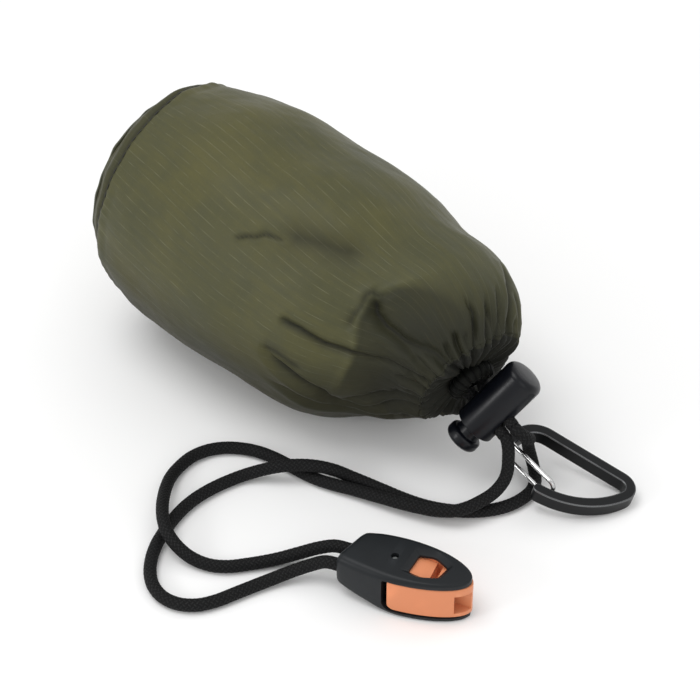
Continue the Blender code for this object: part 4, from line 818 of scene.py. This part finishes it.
# The rolled film that fills the sack: the sack's own rings drawn in, crumpled, with a spiral at both ends
def rolledFilm(material):
    share, middle, side, up, radius = sackRings()
    inside = (share > roll["start"]) & (share < roll["end"])
    share, middle, side, up, radius = [a[inside][::2] for a in (share, middle, side, up, radius)]
    s, t = np.meshgrid(share, around(168), indexing="ij")
    rough = waves(sack["length"] * s, t, 9.0, 16, 31, 0.6) + 0.5 * waves(sack["length"] * s, t, 22.0, 12, 33, 0.6)
    end = ease(np.minimum(s - roll["start"], roll["end"] - s), 0.0, 0.04)
    reach = (radius[:, None] - roll["inset"]) * (0.93 + 0.07 * end) + roll["crumple"] * rough
    reach = reach + roll["layer"] * ((t / fullTurn + 0.35) % 1.0)
    grid = middle[:, None, :] + reach[..., None] * circled(t, side[:, None, :], up[:, None, :])
    # End faces: rings drawn in to the middle, each layer of the spiral a little step
    shrink = np.linspace(1, 0.02, 44)[1:, None]
    layer = (roll["turns"] * shrink + t[:1] / fullTurn) % 1.0
    caps = []
    for ring, centre, ahead in ((grid[0], middle[0], -1), (grid[-1], middle[-1], 1)):
        push = ahead * (1.1 * layer + 1.2 * (1 - shrink**2))
        face = centre + (ring - centre)[None] * shrink[..., None]
        caps.append(face + push[..., None] * np.array((1.0, 0.0, 0.0)))
    grid = np.concatenate([caps[0][::-1], grid, caps[1]])
    grid[..., 2] = np.maximum(grid[..., 2], roll["floor"])
    return surface("rolledFilm", grid * mm, material, poles=True)


filmFinish = Finish("metallisedFilm", roll["colour"], 0.24, 0.95, coat=0.3, coatRoughness=0.1)
crumple = filmFinish.noise(filmFinish.place(), 190.0, 4.0, 0.6)
filmFinish.give("Base Color", filmFinish.mix(crumple.step(0.3, 0.7), roll["dull"], roll["bright"]))
filmFinish.give("Roughness", 0.16 + crumple * 0.22)
filmFinish.bump(crumple, 0.0006, 0.7)
filmRoll = rolledFilm(filmFinish.material)
fit(filmRoll, "root", "metallised_film", "bivvy_roll")
print("stage: hem and rolled film made")


# A line of corners (x, y, radius) in two dimensions with an arc of its own radius at each
def rounded(corners, steps=6):
    line = []
    for k, (x, y, radius) in enumerate(corners):
        here = np.array((x, y))
        if radius == 0 or k in (0, len(corners) - 1):
            line.append(here)
            continue
        before, after = unit(np.array(corners[k - 1][:2]) - here), unit(np.array(corners[k + 1][:2]) - here)
        half = math.acos(float(np.clip(before @ after, -1, 1))) / 2
        centre = here + unit(before + after) * radius / math.sin(half)
        first, last = here + before * radius / math.tan(half), here + after * radius / math.tan(half)
        for t in np.linspace(0, 1, steps):
            line.append(centre + unit(first * (1 - t) + last * t - centre) * radius)
    return np.array(line)


# The same for a closed outline, begun halfway between its last corner and its first
def closedRounded(corners, steps=7):
    middle = (np.array(corners[0][:2]) + np.array(corners[-1][:2])) / 2
    return rounded([(*middle, 0), *corners, (*middle, 0)], steps)[:-1]


# A profile of (radius, height) turned about an axis, closed by poles on the axis
def turned(name, profile, centre, axis, across, material, columns=112):
    ring = circled(around(columns), across, np.cross(axis, across))
    body = profile[1:-1]
    grid = centre + body[:, :1, None] * ring + body[:, 1:, None] * axis
    poles = centre + profile[[0, -1], 1][:, None] * axis
    return surface(name, grid * mm, material, poles=poles * mm)


# A cutter: a flat outline, in the first two directions from the centre, pushed along the third from low to high
def slab(outline, low, high, centre, first, second, third):
    flat = centre + outline[:, :1] * first + outline[:, 1:] * second
    grid = np.stack([flat + low * third, flat + high * third])
    return surface("cutter", grid * mm, None, poles=True)


# Cuts a closed cutter out of a piece for good, then marks the sharp edges
def carve(piece, cutter, sharp=40.0):
    cut = piece.modifiers.new("cut", "BOOLEAN")
    cut.operation, cut.solver, cut.object = "DIFFERENCE", "EXACT", cutter
    bpy.context.view_layer.update()
    mesh = bpy.data.meshes.new_from_object(piece.evaluated_get(bpy.context.evaluated_depsgraph_get()))
    piece.modifiers.clear()
    old, piece.data = piece.data, mesh
    bpy.data.meshes.remove(old)
    bpy.data.objects.remove(cutter, do_unlink=True)
    mesh.polygons.foreach_set("use_smooth", np.full(len(mesh.polygons), True))
    mesh.set_sharp_from_angle(angle=math.radians(sharp))


lock = {"centre": np.array((74.5, 0.3, 29.0)), "radius": 6.7, "bore": 5.5, "mouth": -11.0, "cap": 13.5,
        "ceiling": 12.0, "capRound": 2.3, "edge": 0.35, "travel": 3.0, "gap": 0.3, "slotLow": -7.5,
        "slotHigh": 1.5, "slotHalfWidth": 2.3, "slotReach": 14.0, "seatAhead": 2.0, "buttonRadius": 5.7,
        "buttonLength": 3.8, "buttonDome": 0.5, "neck": 4.1, "colour": (0.0035, 0.0042, 0.0066),
        "worn": (0.03, 0.032, 0.036)}
lockSide = np.cross(lockPlace["lockAxis"], lockPlace["cordAxis"])


# The slot for the two strands, with round ends, through the lock along the cord
def carveSlot(piece, low):
    half, t = lock["slotHalfWidth"], np.linspace(0, math.pi, 15)
    upper = np.stack([half * np.cos(t), lock["slotHigh"] - half + half * np.sin(t)], axis=1)
    lower = np.stack([-half * np.cos(t), low + half - half * np.sin(t)], axis=1)
    carve(piece, slab(np.vstack([upper, lower]), -lock["slotReach"], lock["slotReach"], lock["centre"], lockSide,
                      lockPlace["lockAxis"], lockPlace["cordAxis"]))


def lockTurned(name, corners, material):
    return turned(name, rounded(corners, 7), lock["centre"], lockPlace["lockAxis"], lockPlace["cordAxis"],
                  material)


def lockBarrel(material):
    radius, bore, mouth, cap, ceiling = [lock[key] for key in ("radius", "bore", "mouth", "cap", "ceiling")]
    barrel = lockTurned("lockBarrel", [(0, cap + 0.12, 0), (2.4, cap + 0.06, 12.0),
                                       (radius, cap - 0.25, lock["capRound"]), (radius, mouth, lock["edge"]),
                                       (bore, mouth, 0.25), (bore, ceiling, 0.3), (0, ceiling, 0)], material)
    carveSlot(barrel, lock["slotLow"])
    return barrel


def lockButton(material):
    stem, seat = lock["bore"] - lock["gap"], lock["slotHigh"] + lock["seatAhead"]
    mouth, neck, radius = lock["mouth"], lock["neck"], lock["buttonRadius"]
    shoulder = mouth - lock["travel"] - lock["gap"]
    foot = shoulder - lock["buttonLength"]
    button = lockTurned("lockButton", [(0, seat, 0), (stem, seat, 0.35), (stem, mouth + 0.6, 0.3),
                                       (neck, mouth, 0.3), (neck, shoulder, 0.4), (radius - 0.1, shoulder, 1.1),
                                       (radius, foot, 1.5), (3.4, foot - 0.15, 1.5),
                                       (2.6, foot - lock["buttonDome"] * 0.5, 0.8), (0, foot + 0.1, 0)], material)
    carveSlot(button, lock["slotLow"] - lock["travel"])
    return button


# Plastic with fine pits, slightly uneven in tone, paler where its edges are rubbed
def mouldedPlastic(name, colour, worn, roughness, grain=900.0):
    finish = Finish(name, colour, roughness, specular=0.26)
    place = finish.place()
    pits = finish.noise(place, grain, 3.0, 0.6)
    edge = finish.node("ShaderNodeNewGeometry", output="Pointiness")
    rub = edge.step(0.515, 0.60) * finish.noise(place, 340.0).step(0.35, 0.7)
    tone = finish.mix(finish.noise(place, 70.0).step(0.35, 0.75), scaled(colour, 0.88), scaled(colour, 1.14))
    finish.give("Base Color", finish.mix(rub * 0.7, tone, worn))
    finish.give("Roughness", roughness - 0.05 + pits * 0.10 + rub * 0.08)
    finish.bump(pits, 0.00003, 0.5)
    return finish.material


def polishedSteel(name, colour, roughness):
    finish = Finish(name, colour, roughness, 1.0)
    spots = finish.noise(finish.place(), 300.0)
    finish.give("Roughness", roughness - 0.02 + spots * 0.05)
    finish.give("Base Color", finish.mix(spots.step(0.45, 0.8) * 0.2, colour, scaled(colour, 0.8)))
    return finish.material


lockPlastic = mouldedPlastic("lockNylonPlastic", lock["colour"], lock["worn"], 0.30)
fit(lockBarrel(lockPlastic), "lock", "lock_plastic", "lock_barrel")
fit(lockButton(lockPlastic), "plunger", "lock_plastic", "lock_plunger")
steel = polishedSteel("polishedSpringSteel", (0.56, 0.56, 0.56), 0.20)
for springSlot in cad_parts["lock_spring"].material_slots:
    springSlot.material = steel
print("stage: cord lock made")

# The last colour is that of the pale rims: worn anodising and painted highlight
carabiner = {"turn": np.array(((0.9703, 0.0, 0.24192), (0.0, 1.0, 0.0), (-0.24192, 0.0, 0.9703))),
             "origin": np.array((77.8, 6.8, 11.9)), "hinge": np.array((77.8, 1.2, 11.9)), "hookRadius": 8.1,
             "spine": 26.9, "spineAngle": math.radians(10), "corner": 4.3, "armRadius": 26.9,
             "armStart": math.radians(-105), "armEnd": math.radians(-171), "stub": 5.6, "width": 3.5,
             "thickness": 5.0, "edge": 0.36, "step": 0.35, "wire": 0.75, "hole": 0.95, "holeNear": 1.05,
             "holeFar": 4.0, "colour": (0.0055, 0.006, 0.0068), "wearAndEdgeHighlight": (0.17, 0.173, 0.177)}
# Half of the gate's wire, in millimetres from its hinge; the other half mirrors it
gateWire = np.array([(0, 0, 1.35), (0, 0, 2.35), (0.04, 0, 2.63), (0.32, -0.04, 3.13), (0.81, -0.1, 3.41),
                     (1.09, -0.13, 3.45), (5.0, -0.62, 3.45), (10.0, -1.22, 3.45), (15.0, -1.82, 3.45),
                     (18.88, -2.28, 3.45), (19.43, -2.34, 3.38), (20.38, -2.46, 2.82), (20.93, -2.53, 1.86),
                     (21.0, -2.53, 1.31), (21.0, -2.53, 0.0)])


# Points of an arc about a middle, from the angle start to stop: middle + radius (-sin, cos)
def arc(middle, radius, start, stop, count):
    t = np.linspace(start, stop, count)
    return middle + radius * np.stack([-np.sin(t), np.cos(t)], axis=1)


# The bar's middle line: hinge stub, hook, spine, corner and bowed arm, in the carabiner's own plane
def carabinerLine():
    c = carabiner
    angle = c["spineAngle"]
    stub = [(0.0, -c["stub"]), (0.0, -c["stub"] / 2)]
    hook = arc((c["hookRadius"], 0.0), c["hookRadius"], math.pi / 2, angle, 16)
    spine = hook[-1] + np.linspace(0, c["spine"], 9)[1:, None] * (math.cos(angle), math.sin(angle))
    middle = spine[-1] + c["corner"] * np.array((math.sin(angle), -math.cos(angle)))
    corner = arc(middle, c["corner"], angle, c["armStart"], 14)[1:]
    bow = corner[-1] + c["armRadius"] * np.array((math.sin(c["armStart"]), -math.cos(c["armStart"])))
    arm = arc(bow, c["armRadius"], c["armStart"], c["armEnd"], 20)[1:]
    line = np.vstack([stub, hook, spine, corner, arm])
    return smoothPath(np.column_stack([line, np.zeros(len(line))]), c["step"], 12)[0][:, :2]


# A bar with rounded edges swept along the line, its ends rounded off in plan by narrowing the last rings
def carabinerBar(material):
    c = carabiner
    line = carabinerLine()
    run = runAlong(line)
    halfWidth, halfThick, edge = c["width"] / 2, c["thickness"] / 2, c["edge"]
    # Each edge is a narrow facet of its own, so that it can shine by itself
    facet = np.array([(-0.07, 0.0), (0.0, 0.0), (edge * 0.45, edge * 0.12), (edge * 0.88, edge * 0.55),
                      (edge, edge), (edge, edge + 0.07)])
    upper = np.stack([halfWidth - edge + facet[:, 0], halfThick - facet[:, 1]], axis=1)
    right = np.vstack([upper, [(halfWidth, 0.0)], (upper * (1, -1))[::-1]])
    section = np.vstack([right, (right * (-1, 1))[::-1]])
    toEnd = np.clip(np.minimum(run, run[-1] - run) / halfWidth, 0, 1)
    narrow = np.sqrt(np.clip(1 - (1 - toEnd) ** 2, 0.0025, 1))
    ahead = unit(np.gradient(line, axis=0))
    across = np.stack([ahead[:, 1], -ahead[:, 0]], axis=1)
    flat = line[:, None, :] + (section[None, :, :1] * narrow[:, None, None]) * across[:, None, :]
    high = np.repeat(section[None, :, 1], len(line), axis=0)
    grid = np.concatenate([flat, high[..., None]], axis=-1) @ c["turn"].T + c["origin"]
    # A mark on the rim facets, where the finish paints wear and a painted highlight
    rim = (np.abs(section) >= np.array((halfWidth, halfThick)) - edge - 0.01).all(axis=1).astype(float)
    values = {"edge": np.repeat(rim[None, :], len(line), axis=0)}
    bar = surface("carabinerBar", grid * mm, material, values=values, poles=True)
    ring = c["hole"] * circled(around(28), np.array((1, 0)), np.array((0, 1)))
    for low, high in ((c["holeNear"], c["holeFar"]), (-c["holeFar"], -c["holeNear"])):
        carve(bar, slab(ring, low, high, c["hinge"], *c["turn"].T), 34.0)
    return bar


def gateLoop(material):
    local = np.vstack([gateWire, gateWire[:-1][::-1] * (1, 1, -1)])
    path = smoothPath(local @ carabiner["turn"].T + carabiner["hinge"], 0.3)[0]
    across, up = pathFrames(path)
    grid = path[:, None, :] + carabiner["wire"] * circled(around(24), across[:, None, :], up[:, None, :])
    return surface("gateLoop", grid * mm, material, poles=path[[0, -1]] * mm)


def anodised():
    colour = carabiner["colour"]
    finish = Finish("blackAnodisedAlloy", colour, 0.34, 0.35, specular=0.25)
    place = finish.place()
    grain = finish.noise(place, 800.0, 3.0, 0.6)
    patchy = finish.noise(place, 120.0, 3.0)
    # Paler rims: partly worn anodising, partly a painted highlight along the edge facets; the scratches are wear
    edge = finish.attribute("edge") * patchy.step(0.10, 0.50)
    scratch = finish.noise(finish.place((40.0, 700.0, 40.0), (0.2, 0.1, 0.6)), 1.0, 3.0).step(0.70, 0.74)
    tone = finish.mix(patchy, scaled(colour, 0.8), scaled(colour, 1.25))
    wearAndEdgeHighlight = (edge * 0.75 + scratch * 0.18).step(0.0, 1.0)
    finish.give("Base Color", finish.mix(wearAndEdgeHighlight, tone, carabiner["wearAndEdgeHighlight"]))
    finish.give("Roughness", 0.30 + grain * 0.10 - edge * 0.08)
    finish.give("Metallic", 0.30 + edge * 0.6)
    finish.bump(grain, 0.00002, 0.5)
    return finish.material


fit(carabinerBar(anodised()), "carabiner", "black_anodised", "carabiner_frame")
fit(gateLoop(steel), "gate", "spring_steel", "carabiner_gate")
print("stage: carabiner made")

whistle = {"tail": -1.2, "tailHalf": 6.9, "skew": 0.33, "widest": 14.0, "half": 9.25, "tip": 37.5, "height": 15.5,
           "rise": 5.0, "riseEnd": 18.0, "top": 2.0, "bottom": 1.6, "opening": 12.6, "openingRound": 3.2,
           "setback": 1.5, "proud": 0.45, "ductHalf": 4.7, "ductLow": 3.6, "ductHigh": 10.6, "ductStart": 25.8,
           "splitter": 0.5, "pocketHalf": 6.0, "pocketLow": 6.2, "pocketHigh": 11.0, "pinPlace": 13.3,
           "pin": 1.1, "pinLow": 1.15, "pinHigh": 14.1, "hole": 1.25, "notch": 6.1, "tailRound": 1.8,
           "coreRound": 2.6, "shell": (0.0085, 0.0105, 0.0125), "shellWorn": (0.03, 0.034, 0.038),
           "core": (0.78, 0.285, 0.135), "coreWorn": (0.88, 0.42, 0.24), "peg": (0.22, 0.23, 0.23),
           "pegWorn": (0.3, 0.3, 0.3)}
whistleBack = whistlePlace["back"] / mm
whistleAxes = np.array((whistlePlace["ahead"], whistlePlace["side"], (0.0, 0.0, 1.0)))
# Corners in plan with their radii, and the funnel's heights with how far its outline is spread at each
windowCorners = [(18.9, -3.5, 0.7), (23.3, -4.1, 4.0), (27.7, -2.6, 1.3), (29.2, 2.3, 1.3), (24.4, 5.0, 4.0),
                 (19.6, 4.1, 0.7)]
windowMiddle = np.array((24.4, 0.2))
windowRings = [(16.2, 1.48), (15.45, 1.36), (14.3, 1.02), (14.0, 1.0), (12.9, 1.0)]
# The edge that splits the air below the window, in the long section
blade = [(18.7, 15.0), (18.7, 13.15), (25.0, 12.2), (25.0, 8.0), (27.0, 8.0), (27.0, 12.0), (29.4, 13.1),
         (29.4, 15.0)]


# Half width in plan: a parabola to the tail, and W (1 - x^1.75)^0.5 to the tip
def whistleHalf(u, tip, half):
    toTail = np.clip((whistle["widest"] - u) / (whistle["widest"] - whistle["tail"]), 0, 1)
    toTip = np.clip((u - whistle["widest"]) / (tip - whistle["widest"]), 0, 1)
    return (half - (whistle["half"] - whistle["tailHalf"]) * toTail**2) * np.sqrt(np.maximum(1 - toTip**1.75, 0.0))


# How far a rounded end is drawn in: a quarter circle from start, one unit deep
def roundedEnd(u, start, length):
    return 1 - np.sqrt(1 - (1 - np.clip((u - start) / length, 0, 1)) ** 2)


# A hull of rounded sections: four corners of an ellipse's quarter each, from ring to ring
def hull(name, u, half, low, high, upperCorner, lowerCorner, skew, material):
    u, half, low, high, upperCorner, lowerCorner, skew = [
        np.broadcast_to(a, len(u))[:, None] for a in (u, half, low, high, upperCorner, lowerCorner, skew)]
    side, rise = np.repeat([1, -1, -1, 1], 8), np.repeat([1, 1, -1, -1], 8)
    angle = np.radians(np.repeat([0, 90, 180, 270], 8) + np.tile(np.linspace(0, 90, 8), 4))
    corner = np.where(rise > 0, upperCorner, lowerCorner)
    corner = np.minimum(np.minimum(corner, half * 0.9), (high - low) * 0.45)
    v = side * (half - corner) + corner * np.cos(angle)
    w = np.where(rise > 0, high - corner, low + corner) + corner * np.sin(angle)
    grid = np.stack([u + skew * v, v, w], axis=-1) @ whistleAxes + whistleBack
    return surface(name, grid * mm, material, poles=True)


# Cut an outline out of a piece: in plan between two heights, or in the long section between two sides
def cutPlan(piece, outline, low, high):
    carve(piece, slab(np.array(outline, float), low, high, whistleBack, *whistleAxes), 30.0)


def cutSection(piece, outline, low, high):
    carve(piece, slab(np.array(outline, float), low, high, whistleBack, *whistleAxes[[0, 2, 1]]), 30.0)


# The window: straight behind, bowed at its sides; its rim widens upwards like a funnel
def windowCutter():
    outline = closedRounded(windowCorners)
    flat = [np.column_stack([windowMiddle + (outline - windowMiddle) * spread, np.full(len(outline), height)])
            for height, spread in windowRings]
    grid = np.array(flat) @ whistleAxes + whistleBack
    return surface("cutter", grid * mm, None, poles=True)


def circleOutline(radius):
    return (whistle["pinPlace"], 0) + radius * circled(around(40), np.array((1, 0)), np.array((0, 1)))


def whistleShell(material):
    c = whistle
    tail, tip = c["tail"], c["tip"]
    u = np.concatenate([tail + np.array((0.0, 0.12, 0.4, 0.8, 1.3, 2.0)), np.linspace(1.6, c["widest"], 20),
                        c["widest"] + (tip - c["widest"]) * np.sin(np.linspace(0, math.pi / 2, 40)[1:-1])])
    inset = c["tailRound"] * roundedEnd(u, tail, c["tailRound"])
    low = c["rise"] * (np.clip(c["riseEnd"] - u, 0, None) / (c["riseEnd"] - tail)) ** 1.6 + inset
    slimmer = ease(u, 6, 30)
    shell = hull("whistleShell", u, whistleHalf(u, tip, c["half"]) - inset, low, c["height"] - inset,
                 2.5 - 1.5 * slimmer, 1.6 - 0.6 * slimmer, c["skew"] * (1 - ease(u, -2, 9)), material)
    high, far, near = c["height"] - c["top"], tip + 6, c["opening"]
    opening = closedRounded([(near, c["bottom"], c["openingRound"]), (far, c["bottom"], 0.1), (far, high, 0.1),
                             (near, high, 0.8)])
    cutSection(shell, opening, -14, 14)
    back, front, half = tail - 8, near + 3, c["pocketHalf"]
    pocket = [(back, -half), (front, -half), (front, half), (back, half)]
    cutPlan(shell, pocket, c["pocketLow"], c["pocketHigh"])
    cutPlan(shell, circleOutline(c["hole"]), 1.0, 20.0)
    carve(shell, windowCutter(), 30.0)
    return shell


def whistleCore(material):
    c = whistle
    start, tip = c["opening"] + c["setback"], c["tip"] + c["proud"]
    u = np.concatenate([start + np.array((0.0, 0.1, 0.3, 0.6, 1.0, 1.6, 2.2, 2.9)), np.linspace(17.6, 20, 4),
                        20 + (tip - 20) * np.sin(np.linspace(0, math.pi / 2, 44)[1:-1])])
    low = c["bottom"] + 0.3 + 0.8 * c["coreRound"] * roundedEnd(u, start, c["coreRound"])
    inset = 0.5 * roundedEnd(u, start, 0.6)
    core = hull("whistleCore", u, whistleHalf(u, tip, c["half"] - 0.25) - inset, low,
                c["height"] - c["top"] - 0.3 - inset, 0.6, 0.7, 0.0, material)
    cutPlan(core, circleOutline(c["notch"]), c["pocketLow"], c["pocketHigh"])
    cutPlan(core, circleOutline(c["hole"] + 0.1), -1.0, 20.0)
    # The mouth's two ducts, either side of a thin splitter
    back, low, high = c["ductStart"], c["ductLow"], c["ductHigh"]
    duct = rounded([(back, low, 0), (back, high, 1.0), (tip + 5, high, 0.1), (tip + 5, low, 0.1), (back, low, 0)])
    cutSection(core, duct[:-1], -c["ductHalf"], -c["splitter"])
    cutSection(core, duct[:-1], c["splitter"], c["ductHalf"])
    cutSection(core, blade, -4.2, 5.2)
    return core


def whistlePeg(material):
    low, high, radius = whistle["pinLow"], whistle["pinHigh"], whistle["pin"]
    profile = rounded([(0, high, 0), (radius, high, 0.25), (radius, low, 0.2), (0, low, 0)])
    place = whistle["pinPlace"] * whistleAxes[0] + whistleBack
    return turned("whistlePeg", profile, place, whistleAxes[2], whistleAxes[0], material, 48)


shellPlastic = mouldedPlastic("charcoalPlastic", whistle["shell"], whistle["shellWorn"], 0.40)
corePlastic = mouldedPlastic("salmonPlastic", whistle["core"], whistle["coreWorn"], 0.40, 700.0)
pegPlastic = mouldedPlastic("greyPegPlastic", whistle["peg"], whistle["pegWorn"], 0.45)
fit(whistlePeg(pegPlastic), "whistle", "whistle_plastic", "whistle_pin")
fit(whistleShell(shellPlastic), "whistle", "whistle_plastic", "whistle_shell")
fit(whistleCore(corePlastic), "whistle", "orange_plastic", "whistle_core")
print("stage: whistle made")


stage = {"floorSize": 6.0, "floor": (0.93, 0.93, 0.925), "floorPale": (0.95, 0.95, 0.95), "key": 4.4, "strip": 0.7,
         "fill": 1.1, "back": 1.15, "sky": 0.80}


def paleFloor():
    half = stage["floorSize"] / 2
    corners = [(-half, -half, 0), (half, -half, 0), (half, half, 0), (-half, half, 0)]
    finish = Finish("paleFloor", stage["floor"], 0.75, specular=0.2)
    soft = finish.noise(finish.place(), 3.0)
    finish.give("Base Color", finish.mix(soft, stage["floor"], stage["floorPale"]))
    return meshObject("paleFloor", corners, [np.array([(0, 1, 2, 3)])], finish.material, smooth=False)


def softLight(name, place, target, size, energy):
    data = bpy.data.lights.new(name, "AREA")
    data.shape, data.size, data.energy = "DISK", size, energy
    lamp = bpy.data.objects.new(name, data)
    lamp.location = place
    lamp.rotation_euler = (Vector(target) - Vector(place)).to_track_quat("-Z", "Y").to_euler()
    bpy.context.scene.collection.objects.link(lamp)


# Colours are shown as they are, so that the pale floor stays nearly white and the blacks stay black
bpy.context.scene.view_settings.view_transform = "Standard"
paleFloor()
softLight("keyLight", (-0.22, -0.30, 1.2), (0.0, 0.0, 0.03), 0.75, stage["key"])
softLight("stripLight", (-0.18, -0.645, 0.31), (0.0745, 0.0, 0.03), 0.16, stage["strip"])
softLight("fillLight", (0.95, -0.35, 0.7), (0.0, 0.0, 0.03), 0.8, stage["fill"])
softLight("backLight", (0.25, 0.95, 0.8), (0.0, 0.0, 0.03), 0.7, stage["back"])
world = bpy.data.worlds.new("paleRoom")
bpy.context.scene.world = world
world.use_nodes = True
sky = world.node_tree.nodes["Background"].inputs
sky["Color"].default_value = (1.0, 1.0, 1.0, 1.0)
sky["Strength"].default_value = stage["sky"]
print("stage: floor and lights set")
